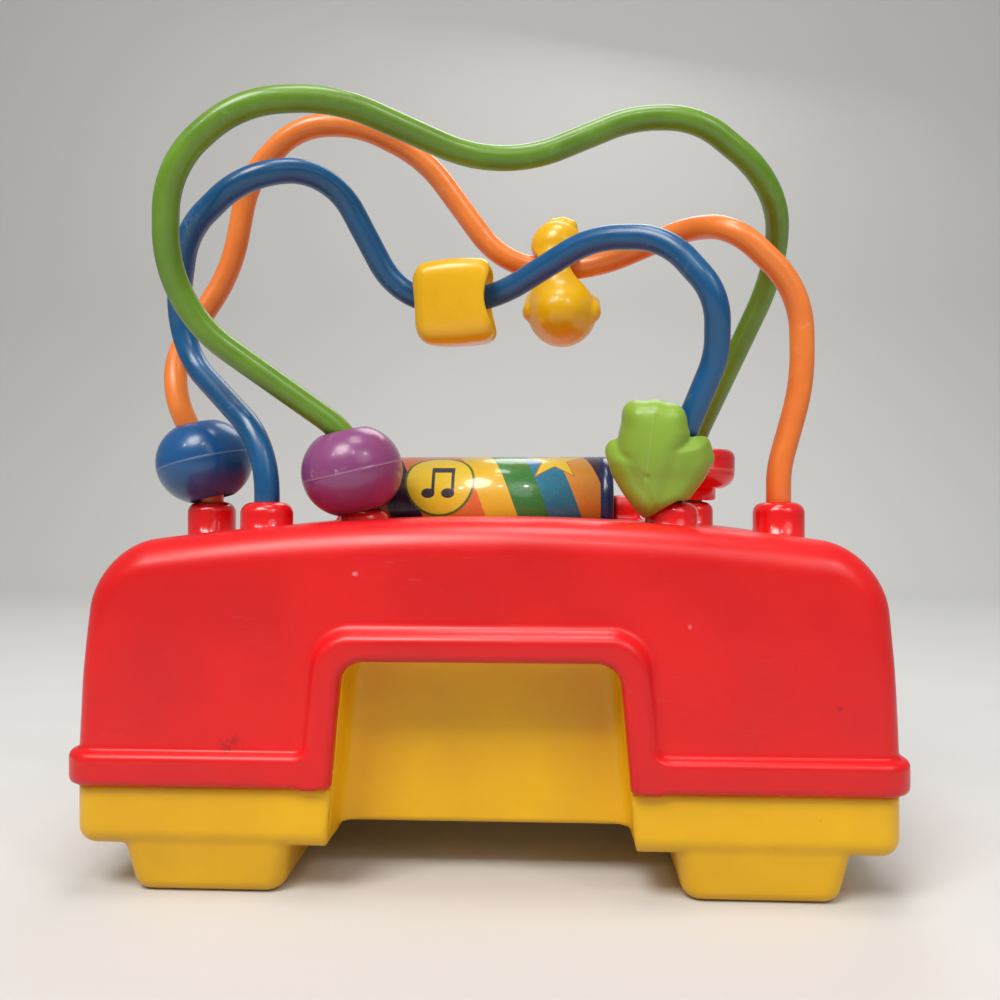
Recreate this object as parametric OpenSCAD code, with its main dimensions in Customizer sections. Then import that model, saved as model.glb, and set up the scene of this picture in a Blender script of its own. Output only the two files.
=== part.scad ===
// Musical bead maze: an arched plastic base on four moulded feet, three bent rods with sliding beads,
// and a printed roller in the top that starts a melody when it is spun.
// Millimetres, +Z up, origin on the floor under the middle of the base, front towards -Y.

/* [Base] */
// Width of the base over the trim flange
base_w = 270; // [250:1:290]
// Depth of the base over the trim flange
base_d = 150; // [140:1:165]
// Height of the middle of the arched top above the floor
crown_z = 122; // [118:1:128]
// Radius of the arch of the top, seen from the front
crown_r = 850; // [700:10:1200]
// Draft of the side walls in degrees
draft = 1.9; // [1:0.1:3]
// Radius of the long top edges
edge_r = 12; // [9:0.5:14]
// Radius of the upright corners
corner_r = 6.5; // [6:0.5:10]
// Radius of the shoulders where the top turns into the ends
shoulder_r = 20; // [16:0.5:24]
// Wall thickness of both housings
wall = 2.6; // [2.2:0.1:3.2]
// Height of the joint between bottom housing and top housing
split_z = 36; // [34:0.5:38]
// Height of the trim flange
flange_h = 11; // [10:0.5:13]
// How far the trim flange stands out from the walls
flange_out = 3.2; // [2.4:0.1:4]
// Radius of the trim flange's edges
flange_edge_r = 3; // [2:0.25:4.75]

/* [Grip recess] */
// Width of the recess at its top
recess_top_w = 88; // [80:1:94]
// Width of the recess at the joint between the housings
recess_low_w = 95; // [90:1:100]
// Height of the recess top above the floor
recess_top_z = 76.5; // [70:0.5:80]
// Depth of the recess from the front of the pods
recess_depth = 21; // [15:1:24]
// Radius of the recess's upper corners
recess_r = 7; // [4:0.5:10]
// Width of the raised band round the recess
band_w = 9; // [7:0.5:11]

/* [Pods and feet] */
// Height of the feet
foot_h = 16; // [13:0.5:18]
// Width of a foot at its root
foot_w = 55; // [48:1:58]
// Depth of a foot at its root
foot_d = 47; // [40:1:50]
// Distance of a foot's root from the end of its pod
foot_end_inset = 14.8; // [13:0.2:17]
// Distance of a foot's root from the front or back of its pod
foot_front_inset = 1.8; // [1:0.2:4]
// How far each side of a foot slopes in
foot_taper = 3; // [2:0.5:5]
// Radius of a foot's lower edges
foot_r = 4; // [3:0.5:6]
// Radius of the pods' lower edges
pod_r = 6; // [4:0.5:6]
// How much higher the belly sits than the pods
belly_rise = 3; // [2:0.5:5]

/* [Wires] */
// Diameter of the coated wires
wire_d = 8.7; // [8:0.1:9.2]
// Diameter of a wire socket
socket_d = 18; // [17.5:0.5:19]
// Height of the socket tops above the middle of the arched top
socket_rise = 5; // [4:0.5:7]
// How much lower the socket beside the roller is than the others
low_socket_drop = 2.5; // [0:0.5:3]
// Radius of the socket's top edge
socket_r = 4; // [2:0.5:4]
// Radial gap between a wire and its socket, and between a socket and its hole
socket_fit = 0.05; // [0.05:0.05:0.15]

/* [Beads] */
// Bore of the animal and saucer beads
bead_bore = 15; // [14.5:0.5:15.5]
// Bore of the ball beads
ball_bore = 17; // [16:0.5:17.5]
// Diameter of the ball beads
ball_d = 36; // [33:0.5:37]
// Radius of a ball bead's flank, smaller than half its diameter
ball_flank_r = 15.8; // [14.5:0.1:16]
// Edge length of the cube bead
cube_w = 31; // [29:0.5:33]
// Radius of the cube bead's edges
cube_r = 6.5; // [5:0.5:8]
// Bore of the cube bead, which bridges the tightest bend
cube_bore = 16; // [15.5:0.5:17]
// Diameter of the duck bead's head
duck_head_d = 21; // [19:0.5:22]
// Diameter of the duck bead's body
duck_body_d = 27; // [25:0.5:28]
// Width of the frog bead across its arms
frog_w = 37; // [35:0.5:39]
// Height of the frog bead
frog_h = 40; // [38:0.5:41]
// Thickness of the frog bead
frog_t = 24; // [23:0.5:26]
// Diameter of the saucer bead
saucer_d = 33; // [30:0.5:35]
// Thickness of the saucer bead's rim
saucer_t = 17; // [15:0.5:18]

/* [Roller] */
// Length of the roller over its end caps
roller_l = 92; // [86:1:94]
// Diameter of the roller
roller_d = 38; // [34:0.5:39]
// Height of the roller's axis above the middle of the arched top
roller_rise = 3.6; // [3:0.2:5]
// Radial gap between the roller and its trough
trough_gap = 2.5; // [2:0.25:3]
// Diameter of the steel axle
axle_d = 5; // [4:0.5:6]
// Radial running gap between the axle and the roller
axle_fit = 0.05; // [0.03:0.01:0.1]
// Length of an end cap that shows
cap_l = 5; // [4:0.5:6]

/* [Inside] */
// Diameter of the speaker
speaker_d = 36; // [32:1:36]
// Diameter of one battery cell
cell_d = 14.5; // [14:0.1:14.5]
// Length of one battery cell
cell_l = 50.5; // [49:0.5:50.5]
// Thickness of the circuit board
board_t = 1.6; // [1.2:0.2:2]

/* [Hidden] */
$fn = 48;

red = [0.86, 0.10, 0.11];
yellow = [0.95, 0.70, 0.09];
green = [0.47, 0.66, 0.20];
blue = [0.10, 0.33, 0.58];
orange = [1.0, 0.48, 0.18];
purple = [0.52, 0.26, 0.48];
navy = [0.08, 0.15, 0.32];
steel = [0.75, 0.76, 0.78];

clear = 0.3;          // gap between pieces that move past each other
seat_gap = 0.1;       // gap round a piece that is dropped into its seat
through = 1;          // how far a cut runs past the face it leaves
facets = 24;          // segments of the rounded housings
bead_facets = 16;     // segments of the rounded animals
wire_sides = 12;      // sides of a wire's section
wire_step = 15;       // degrees of bend between two sections of a wire

// Housing outline
half_w = base_w / 2 - flange_out;
half_d = base_d / 2 - flange_out;
flange_top_z = split_z + flange_h;
arch_centre_z = crown_z - crown_r;
shoulder_x = half_w - shoulder_r - (crown_z - shoulder_r - flange_top_z) * tan(draft);
shoulder_z = arch_centre_z + sqrt(pow(crown_r - shoulder_r, 2) - pow(shoulder_x, 2));
top_half_d = half_d - (crown_z - edge_r - flange_top_z) * tan(draft);
pod_z = foot_h;
foot_x = half_w - foot_end_inset - foot_w / 2;
foot_y = half_d - foot_front_inset - foot_d / 2;
lip_t = wall / 2;
lip_h = 4.5;

// Recess outline, seen from the front
recess_back_y = half_d - recess_depth;
recess_front_y = half_d - (recess_top_z + wall - flange_top_z) * tan(draft) - wall - seat_gap;
recess_slope = (recess_low_w - recess_top_w) / 2 / (recess_top_z - split_z);
band_step = 1;        // step along the outer edge of the raised band

// Roller and trough
roller_z = crown_z + roller_rise;
trough_r = roller_d / 2 + trough_gap;
end_gap = 0.5;        // gap between the roller and each end of its well
cam_l = 3;
cam_lobes = 8;
cam_r = roller_d / 2 - 6;
lobe_r = 2.5;
well_left = -roller_l / 2 - cam_l - end_gap;
well_right = roller_l / 2 + end_gap;
bracket_l = 10;
bracket_w = 18;
bracket_step = 2;     // step round the top of a bracket
bracket_top_z = roller_z + axle_d / 2 + 1.5;
label_t = 0.4;
cap_plug_l = 8;
cap_edge_r = 2.5;
tube_wall = 2.5;
tube_d = roller_d - 2 * label_t;

// Screws that hold the housings together
housing_screw_inset = [27.8, 19.8];
housing_screw_x = half_w - housing_screw_inset[0];
housing_screw_y = half_d - housing_screw_inset[1];
post_top_z = 60;
post_d = 10;
screw_d = 3;
screw_core_d = 2.4;   // hole that a screw cuts its thread in
screw_head_d = 5.6;
screw_head_h = 2.2;
screw_room = 0.4;     // how much wider a clearance hole is than its screw
screw_l = 18;
screw_seat_z = post_top_z - 6;

// Circuit board and contact spring
board_w = 50;
board_d = 60;
board_x = -45;
board_z = 94;
board_post_d = 7;
board_hole_inset = 5;
board_screw_l = 9;
board_screw_head_h = 1.8;
chip = [18, 14, 2.5];
contact_x = -roller_l / 2 - cam_l / 2;
contact_w = 2;
contact_d = 8;
contact_t = 0.6;

// Speaker, battery box and door
belly_z = pod_z + belly_rise;
speaker_inset = 45.8; // distance of the speaker's middle from the end of the base
speaker_x = speaker_inset - half_w;
speaker_rim_h = 6;
speaker_rim_t = 3;
speaker_step = 2;
speaker_basket_h = 8;
speaker_h = 14;
speaker_hole_d = 2.6;
speaker_hole_pitch = 5;
door_w = 70;
door_d = 40;
door_t = 1.5;
door_screw_x = door_w / 2 - 4;
door_screw_l = 10;
box_wall = 2;
cell_gap = 0.2;       // gap round a cell
contact_plate_t = 0.5;
box_l = cell_l + 2 * contact_plate_t + 2 * cell_gap;
box_d = 2 * cell_d + 3 * cell_gap;
box_h = door_t + cell_d + 2 * cell_gap;

// Sockets: distance of each from the end of the base and from its front, or from its back for the last one
green_left_inset = [87.8, 38.8];
blue_left_inset = [55.8, 26.8];
blue_right_inset = [67.8, 30.8];
orange_left_inset = [23.8, 61.8];
orange_right_inset = [27.8, 45.8];
green_right_inset = [47.8, 25.8];
function from_corner(inset, side, end) = [side * (half_w - inset[0]), end * (half_d - inset[1])];
green_left = from_corner(green_left_inset, -1, -1);
blue_left = from_corner(blue_left_inset, -1, -1);
blue_right = from_corner(blue_right_inset, 1, -1);
orange_left = from_corner(orange_left_inset, -1, -1);
orange_right = from_corner(orange_right_inset, 1, -1);
green_right = from_corner(green_right_inset, 1, 1);
socket_z = crown_z + socket_rise;
socket_flange_d = socket_d + 2;
socket_flange_t = 2.5;
retainer_d = wire_d + 6;
retainer_t = 1.5;
tail_l = 4;           // wire that shows below its socket, for the retainer

// Routes of the wires: bend corners as [x, y, height above the socket tops, bend radius]. The first and the
// last corner lie over the two sockets, and all corners move along when the sockets do.
green_bends = [
    [-44, -33, 20, 34], [-108, -55, 67, 44], [-102, -69, 109, 36], [-78, -70, 129, 42], [-49, -60, 134, 60],
    [5, -35, 117, 60], [52, -28, 138, 40], [75, -29, 137, 33], [105, -20, 116, 42], [112, 10, 93, 55],
    [84, 46, 24, 36]
];
blue_bends = [
    [-76, -45, 20, 34], [-121, -16, 61, 26], [-107, -38, 97, 36], [-82, -50, 113, 27], [-56, -35, 119, 23],
    [-33, -20, 74, 26], [0, -21, 74, 45], [37, -40, 92, 40], [61, -50, 89, 28], [77, -57, 68, 20],
    [78, -50, 49, 30], [64, -41, 13, 32]
];
orange_bends = [
    [-108, -10, 10, 34], [-122, -10, 39, 36], [-125, -4, 57, 26], [-104, 1, 92, 70], [-96, -2, 128, 36],
    [-75, -7, 146, 30], [-52, -4, 147, 42], [-27, 3, 136, 48], [4, 9, 94, 34], [38, 8, 92, 55],
    [75, -12, 103, 30], [88, -29, 98, 19], [112, -26, 76, 36], [113, -24, 43, 70], [104, -26, 12, 40]
];

// Places of the beads: distance of the bead's middle along its wire from a socket's top, and how far its
// bore hangs off the wire's middle
ball_half = sqrt(pow(ball_flank_r, 2) - pow(ball_bore / 2 - ball_d / 2 + ball_flank_r, 2));
ball_axis_s = 10;     // distance along the wire at which the wire has the direction of a resting ball's bore
purple_ball_s = ball_half - low_socket_drop;
purple_ball_shift = [3, 1.5];
blue_ball_s = ball_half + 1.5;
blue_ball_shift = [0, 0.5];
cube_bend = 5;        // bend that the cube rests past, counted from the left socket
cube_past = 5.6;
cube_shift = [-0.69, 0.59];
cube_facing = [0, -1, -0.12]; // its front looks a little down
duck_bend = 8;        // bend that the duck rests past, counted from the left socket
duck_past = 4.9;
duck_shift = [-1.5, -1.5];
frog_sink = 5;        // how far the frog's tip hangs below the top of its socket
frog_up = frog_h / 2 - frog_sink;
frog_shift = [0, 0.5];
saucer_hub_out = 5;   // how far each hub stands out from the saucer's rim
saucer_hub_l = saucer_t / 2 + saucer_hub_out;
saucer_up = saucer_hub_l + 1;
saucer_shift = [-1.5, 0.75];

// Cube: hollow of its ends
cube_dish_depth = 3;

// Duck: places from the middle of its bore, up, towards its beak and along the wire
duck_head = [1, 9.8];
duck_body = [-2, -16.2];
duck_body_along = 2.8;
duck_chest = [7, -15];
duck_chest_less = 4;  // how much smaller the chest is than the body
duck_tail = [-9, -17];
duck_tail_less = 6;   // how much smaller the tail is than the body
duck_neck_wall = 2;
duck_tuft_d = 6;
duck_tuft_along = [0.6, 4.6];
duck_beak_d = 3.6;
duck_beak_x = [9, 15];
duck_beak_half_w = [3.5, 1.4];
duck_wing_d = 9;
duck_wing_x = [-5, 5];
duck_wing_up = 3;     // how far a wing's front end sits above the body's middle

// Frog: sizes of its rounded forms, and their places from the frog's middle, sideways and up
frog_lean = 13;       // degrees between the frog's own axis and its bore
frog_side = 5.5;      // how far the frog's body sits to the viewer's left of its bore
frog_front = 2;       // how far the frog's body sits in front of its bore
frog_round_d = 8;
frog_head_w = 23.5;
frog_head_edge_d = 9;
frog_arm_up = 4.2;
frog_hip = [14, -5.5];
frog_thigh = [8, -12];
frog_tip_d = 7;
frog_tip_side = 3.3;
frog_lobe_d = 8;
frog_lobe_x = 5.5;
frog_lobe_out = 0.8;   // how far the lobes on the head stand out from it
frog_arm_share = 0.7;  // thickness of the arms, as a share of the middle's
frog_edge_share = 0.8; // thickness of the hips, the tip and the head's top, as a share of the middle's
frog_socket_gap = 1.9; // gap between the frog's hollow foot and the socket that it hangs over

// Saucer: radii of its edges, and wall of its hubs
saucer_rim_r = 5;
saucer_hub_edge_r = 1;
saucer_hub_wall = 2.5;

// Vector and path functions
function unit(v) = v / norm(v);
function full_route(first, bends, last) =
    let (a = bends[0], b = bends[len(bends) - 1])
    let (stretch = (last[0] - first[0]) / (b[0] - a[0]))
    concat(
        [[first[0], first[1], socket_bottom_z(first) - tail_l, 0]],
        [for (c = bends)
            let (share = (c[0] - a[0]) / (b[0] - a[0]))
            let (moved = (1 - share) * (first[1] - a[1]) + share * (last[1] - b[1]))
            [first[0] + (c[0] - a[0]) * stretch, c[1] + moved, c[2] + socket_z, c[3] * stretch]],
        [[last[0], last[1], socket_bottom_z(last) - tail_l, 0]]
    );
function place(row) = [row[0], row[1], row[2]];
function socket_top(at) = socket_z - (at == green_left ? low_socket_drop : 0);
function bend(route, i) =
    let (u = unit(place(route[i]) - place(route[i - 1])))
    let (v = unit(place(route[i + 1]) - place(route[i])))
    let (turn = acos(u * v), r = route[i][3])
    let (t = r * tan(turn / 2), inward = unit(v - u * cos(turn)))
    let (start = place(route[i]) - u * t)
    [start, place(route[i]) + v * t, start + inward * r, inward, u, turn, r];
// A route as pieces: ["line", start, direction, length] and ["arc", bend, length]
function pieces(route) =
    let (last = len(route) - 1, bends = [for (i = [1 : last - 1]) bend(route, i)])
    let (starts = concat([place(route[0])], [for (b = bends) b[1]]))
    let (ends = concat([for (b = bends) b[0]], [place(route[last])]))
    [for (i = [0 : last - 1]) each concat(
        [["line", starts[i], unit(ends[i] - starts[i]), norm(ends[i] - starts[i])]],
        i < last - 1 ? [["arc", bends[i], bends[i][6] * bends[i][5] * PI / 180]] : []
    )];
function piece_length(p) = p[0] == "line" ? p[3] : p[2];
function arc_point(b, a) = b[2] + b[6] * (b[4] * sin(a) - b[3] * cos(a));
function arc_direction(b, a) = b[4] * cos(a) + b[3] * sin(a);
// Point and direction at a distance along a list of pieces
function along(list, s, i = 0) =
    s > piece_length(list[i]) && i < len(list) - 1 ? along(list, s - piece_length(list[i]), i + 1)
    : list[i][0] == "line" ? [list[i][1] + list[i][2] * s, list[i][2]]
    : let (a = s / list[i][1][6] * 180 / PI) [arc_point(list[i][1], a), arc_direction(list[i][1], a)];

// Heights of the top, of the ceiling inside it and of the sockets
function deck_z(x) = arch_centre_z + sqrt(pow(crown_r, 2) - pow(x, 2));
function ceiling_z(x) =
    x * (crown_r - shoulder_r) < shoulder_x * (crown_r - wall)
    ? arch_centre_z + sqrt(pow(crown_r - wall, 2) - pow(x, 2))
    : shoulder_z + sqrt(pow(shoulder_r - wall, 2) - pow(x - shoulder_x, 2));
function socket_flange_z(at) = ceiling_z(abs(at[0]) + socket_flange_d / 2) - clear;
function socket_bottom_z(at) = socket_flange_z(at) - socket_flange_t;

green_route = full_route(green_left, green_bends, green_right);
blue_route = full_route(blue_left, blue_bends, blue_right);
orange_route = full_route(orange_left, orange_bends, orange_right);
green_path = pieces(green_route);
blue_path = pieces(blue_route);
orange_path = pieces(orange_route);
function path_length(path) = [for (p = path) piece_length(p)] * [for (p = path) 1];
function from_left(at, s) = s + socket_z - socket_bottom_z(at) + tail_l;
function from_right(path, at, s) = path_length(path) - from_left(at, s);
// Distance along a path to a place past one of its bends
function past_bend(path, i, s) = s + path_length([for (k = [0 : 2 * i + 1]) path[k]]);

// Wires: one tube swept through sections at the ends and along each bend
function turned(v, a, b) = v - (a + b) * ((a + b) * v) / (1 + a * b) + 2 * b * (a * v);
function bend_sections(b) =
    let (steps = ceil(b[5] / wire_step))
    [for (k = [0 : steps]) [arc_point(b, b[5] * k / steps), arc_direction(b, b[5] * k / steps)]];
function sections(path) =
    let (first = path[0], last = path[len(path) - 1])
    concat(
        [[first[1], first[2]]],
        [for (p = path) if (p[0] == "arc") each bend_sections(p[1])],
        [[last[1] + last[2] * last[3], last[2]]]
    );
// Sideways direction of each section, carried along without twist
function sideways(list) = [
    for (
        i = 0, x = [1, 0, 0];
        i < len(list);
        i = i + 1, x = i < len(list) ? turned(x, list[i - 1][1], list[i][1]) : x
    ) x
];

module bent_rod(path, d) {
    list = sections(path);
    across = sideways(list);
    n = wire_sides;
    last = len(list) - 1;
    points = [for (i = [0 : last], k = [0 : n - 1])
        let (a = 360 * k / n, up = cross(list[i][1], across[i]))
        list[i][0] + d / 2 * (across[i] * cos(a) + up * sin(a))];
    skin = [for (i = [0 : last - 1], k = [0 : n - 1]) each [
        [i * n + k, (i + 1) * n + k, i * n + (k + 1) % n],
        [i * n + (k + 1) % n, (i + 1) * n + k, (i + 1) * n + (k + 1) % n]
    ]];
    ends = [[for (k = [0 : n - 1]) k], [for (k = [n - 1 : -1 : 0]) last * n + k]];
    polyhedron(points, concat(skin, ends));
}

// Places children with their own x, y and z axes along three given directions
module on_axes(origin, x, y, z) {
    multmatrix([
        [x[0], y[0], z[0], origin[0]],
        [x[1], y[1], z[1], origin[1]],
        [x[2], y[2], z[2], origin[2]],
        [0, 0, 0, 1]
    ]) children();
}

// Places a bead on a wire: its bore along the wire, pointing up the wire or down it, its own y axis as near
// as can be to facing, and its bore off the wire's middle by shift. A bead that leans on its socket takes
// the wire's direction from another distance along the wire.
module threaded(path, s, facing = [0, -1, 0], way = 1, shift = [0, 0], axis_s = undef) {
    spot = along(path, s)[0];
    z = way * along(path, is_undef(axis_s) ? s : axis_s)[1];
    y = unit(facing - z * (facing * z));
    on_axes(spot, cross(y, z), y, z) translate([shift[0], shift[1], 0]) children();
}

module green_wire() { color(green) bent_rod(green_path, wire_d); }
module blue_wire() { color(blue) bent_rod(blue_path, wire_d); }
module orange_wire() { color(orange) bent_rod(orange_path, wire_d); }

// Sockets
module wire_socket(at) {
    bottom = socket_bottom_z(at);
    top = socket_top(at);
    hole_r = wire_d / 2 + socket_fit;
    color(red) translate([at[0], at[1], 0]) rotate_extrude() {
        translate([hole_r, bottom]) square([socket_flange_d / 2 - hole_r, socket_flange_t]);
        translate([hole_r, bottom]) square([socket_d / 2 - hole_r, top - socket_r - bottom]);
        translate([hole_r, bottom]) square([socket_d / 2 - socket_r - hole_r, top - bottom]);
        intersection() {
            translate([socket_d / 2 - socket_r, top - socket_r]) circle(socket_r);
            translate([hole_r, top - socket_r]) square(socket_d);
        }
    }
}

module wire_retainers() {
    color(steel) for (at = [green_left, green_right, blue_left, blue_right, orange_left, orange_right]) {
        translate([at[0], at[1], socket_bottom_z(at) - retainer_t]) difference() {
            cylinder(h = retainer_t, d = retainer_d);
            translate([0, 0, -through]) cylinder(h = retainer_t + 2 * through, d = wire_d + 2 * socket_fit);
        }
    }
}

// Top housing
module rail_balls(inset) {
    r = edge_r - inset;
    turn_r = shoulder_r - edge_r;
    lean = asin(shoulder_x / (crown_r - shoulder_r));
    for (x = [-1 : 0.25 : 1]) {
        a = x * lean;
        rail_r = crown_r - edge_r;
        translate([rail_r * sin(a), 0, arch_centre_z + rail_r * cos(a)]) sphere(r, $fn = facets);
    }
    for (side = [-1, 1], k = [1 : 3]) {
        a = lean + (90 - draft - lean) * k / 3;
        translate([side * (shoulder_x + turn_r * sin(a)), 0, shoulder_z + turn_r * cos(a)])
            sphere(r, $fn = facets);
    }
}

module corner_posts(w, d, r, h) {
    for (x = [-1, 1], y = [-1, 1]) {
        translate([x * (w - r), y * (d - r), 0]) cylinder(h = h, r = r, $fn = facets);
    }
}

module arched_body(inset) {
    slope = flange_h * tan(draft);
    hull() {
        for (y = [-1, 1]) {
            translate([0, y * (top_half_d - edge_r), 0]) rail_balls(inset);
        }
        translate([0, 0, split_z])
            corner_posts(half_w + slope - inset, half_d + slope - inset, corner_r - inset, 0.5);
    }
}

module rounded_puck(r, h, edge) {
    rotate_extrude($fn = facets) {
        square([r - edge, h]);
        translate([0, edge]) square([r, h - 2 * edge]);
        for (z = [edge, h - edge]) {
            translate([r - edge, z]) circle(edge, $fn = 24);
        }
    }
}

module flange_slab() {
    r = corner_r + flange_out;
    translate([0, 0, split_z]) hull() for (x = [-1, 1], y = [-1, 1]) {
        translate([x * (base_w / 2 - r), y * (base_d / 2 - r), 0]) rounded_puck(r, flange_h, flange_edge_r);
    }
}

// Outline of the recess in the XZ plane, grown outwards on its sides and top
function recess_half_w(z) = recess_top_w / 2 + (recess_top_z - z) * recess_slope;
module recess_outline(grow, r, low) {
    top = recess_top_z + grow;
    corner_x = recess_half_w(top - r) + grow - r;
    lean = atan(recess_slope);
    polygon(concat(
        [[recess_half_w(low) + grow, low]],
        [for (a = [lean : (90 - lean) / 6 : 90]) [corner_x + r * cos(a), top - r + r * sin(a)]],
        [for (a = [90 : (90 - lean) / 6 : 180 - lean]) [-corner_x + r * cos(a), top - r + r * sin(a)]],
        [[-recess_half_w(low) - grow, low]]
    ));
}

// Extrudes an XZ outline between two distances from the middle, on the front and on the back
module front_and_back(inner_y, outer_y) {
    for (turn = [0, 180]) {
        rotate([0, 0, turn]) translate([0, -inner_y, 0]) rotate([90, 0, 0])
            linear_extrude(outer_y - inner_y) children();
    }
}

module recess_void(inner_y) {
    front_and_back(inner_y, base_d / 2 + through) recess_outline(0, recess_r, -through);
}

module recess_band() {
    inner_y = half_d - edge_r / 2;
    outer_r = recess_r + band_w - 2 * band_step;
    front_and_back(inner_y, base_d / 2 - band_step) recess_outline(band_w, outer_r, split_z);
    front_and_back(inner_y, base_d / 2) recess_outline(band_w - band_step, outer_r - band_step, split_z);
}

// Cylinder on the roller's axis between two places along the width
module along_x(from, to, d) {
    translate([from, 0, roller_z]) rotate([0, 90, 0]) cylinder(h = to - from, d = d);
}

module roller_brackets() {
    low_z = deck_z(bracket_l - well_left) - wall;
    for (x = [well_left - bracket_l, well_right]) {
        translate([x, -bracket_w / 2, low_z])
            cube([bracket_l, bracket_w, bracket_top_z - bracket_step - low_z]);
        translate([x, bracket_step - bracket_w / 2, low_z])
            cube([bracket_l, bracket_w - 2 * bracket_step, bracket_top_z - low_z]);
    }
}

module at_housing_screws() {
    for (x = [-1, 1], y = [-1, 1]) {
        translate([x * housing_screw_x, y * housing_screw_y, 0]) children();
    }
}

module at_board_screws() {
    dx = board_w / 2 - board_hole_inset;
    dy = board_d / 2 - board_hole_inset;
    for (x = [-dx, dx], y = [-dy, dy]) {
        translate([board_x + x, y, 0]) children();
    }
}

module top_cavity() {
    difference() {
        arched_body(wall);
        along_x(well_left - wall, well_right + wall, 2 * (trough_r + wall));
        at_housing_screws() translate([0, 0, post_top_z + seat_gap]) cylinder(h = crown_z, d = post_d);
        at_board_screws() translate([0, 0, board_z + board_t]) cylinder(h = crown_z, d = board_post_d);
    }
}

module top_housing() {
    color(red) difference() {
        union() {
            arched_body(0);
            flange_slab();
            recess_band();
            roller_brackets();
        }
        top_cavity();
        translate([0, 0, split_z - through]) linear_extrude(lip_h + seat_gap + through)
            lip_outline(seat_gap);
        recess_void(half_d - edge_r / 2);
        along_x(well_left, well_right, 2 * trough_r);
        along_x(well_left - bracket_l - through, well_right + bracket_l + through, axle_d);
        for (at = [green_left, green_right, blue_left, blue_right, orange_left, orange_right]) {
            translate([at[0], at[1], post_top_z]) cylinder(h = crown_z, d = socket_d + 2 * socket_fit);
        }
        at_housing_screws() translate([0, 0, post_top_z]) cylinder(h = screw_l, d = screw_d);
        at_board_screws() translate([0, 0, board_z]) cylinder(h = board_screw_l + through, d = screw_core_d);
        translate([contact_x - contact_w / 2 - clear, -contact_d / 2 - clear, board_z])
            cube([contact_w + 2 * clear, contact_d + 2 * clear, roller_z - cam_r - board_z]);
    }
}

// Bottom housing
module rounded_rect(w, d, r) {
    square([2 * w, 2 * (d - r)], center = true);
    square([2 * (w - r), 2 * d], center = true);
    for (x = [-1, 1], y = [-1, 1]) {
        translate([x * (w - r), y * (d - r)]) circle(r);
    }
}

// Outline of the lip that stands up from the bottom housing inside the top housing
module lip_outline(grow) {
    out = grow + lip_t - wall;
    rounded_rect(half_w + out, half_d + out, corner_r + out);
}

module tub(inset) {
    r = corner_r - inset;
    low_r = pod_r - inset;
    top = split_z + (inset > 0 ? through : 0);
    hull() {
        for (x = [-1, 1], y = [-1, 1]) {
            translate([x * (half_w - corner_r), y * (half_d - corner_r), 0]) {
                translate([0, 0, pod_z + pod_r]) rotate_extrude($fn = facets) intersection() {
                    translate([r - low_r, 0]) circle(low_r, $fn = facets);
                    translate([0, -low_r]) square([r, low_r]);
                }
                translate([0, 0, pod_z + pod_r]) cylinder(h = top - pod_z - pod_r, r = r, $fn = facets);
            }
        }
    }
}

module foot() {
    w = foot_w / 2 - foot_r;
    d = foot_d / 2 - foot_r;
    hull() {
        for (x = [-1, 1], y = [-1, 1]) {
            translate([x * (w - foot_taper), y * (d - foot_taper), 0]) {
                translate([0, 0, foot_r]) sphere(foot_r, $fn = facets);
                cylinder(h = foot_r, r = foot_r / 4, $fn = facets);
            }
            translate([x * w, y * d, pod_z]) cylinder(h = wall, r = foot_r, $fn = facets);
        }
    }
}

module belly_cut(grow) {
    w = 2 * recess_half_w(pod_z) + 2 * grow;
    translate([-w / 2, -base_d / 2, 0]) cube([w, base_d, belly_z + grow]);
}

module battery_box() {
    translate([-box_l / 2 - box_wall, -box_d / 2 - box_wall, belly_z])
        cube([box_l + 2 * box_wall, box_d + 2 * box_wall, box_h + box_wall]);
    translate([door_screw_x, 0, belly_z]) cylinder(h = door_screw_l + box_wall, d = board_post_d);
}

module battery_space() {
    translate([-box_l / 2, -box_d / 2, belly_z - through]) cube([box_l, box_d, box_h + through]);
    translate([-door_w / 2, -door_d / 2, belly_z - through]) cube([door_w, door_d, door_t + through]);
    translate([door_screw_x, 0, belly_z]) cylinder(h = door_screw_l, d = screw_core_d);
}

module speaker_holes() {
    for (ring = [0 : 2]) {
        for (a = [0 : 360 / max(1, 6 * ring) : 359]) {
            r = speaker_hole_pitch * ring;
            translate([speaker_x + r * cos(a), r * sin(a), pod_z - through])
                cylinder(h = wall + 2 * through, d = speaker_hole_d);
        }
    }
}

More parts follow.
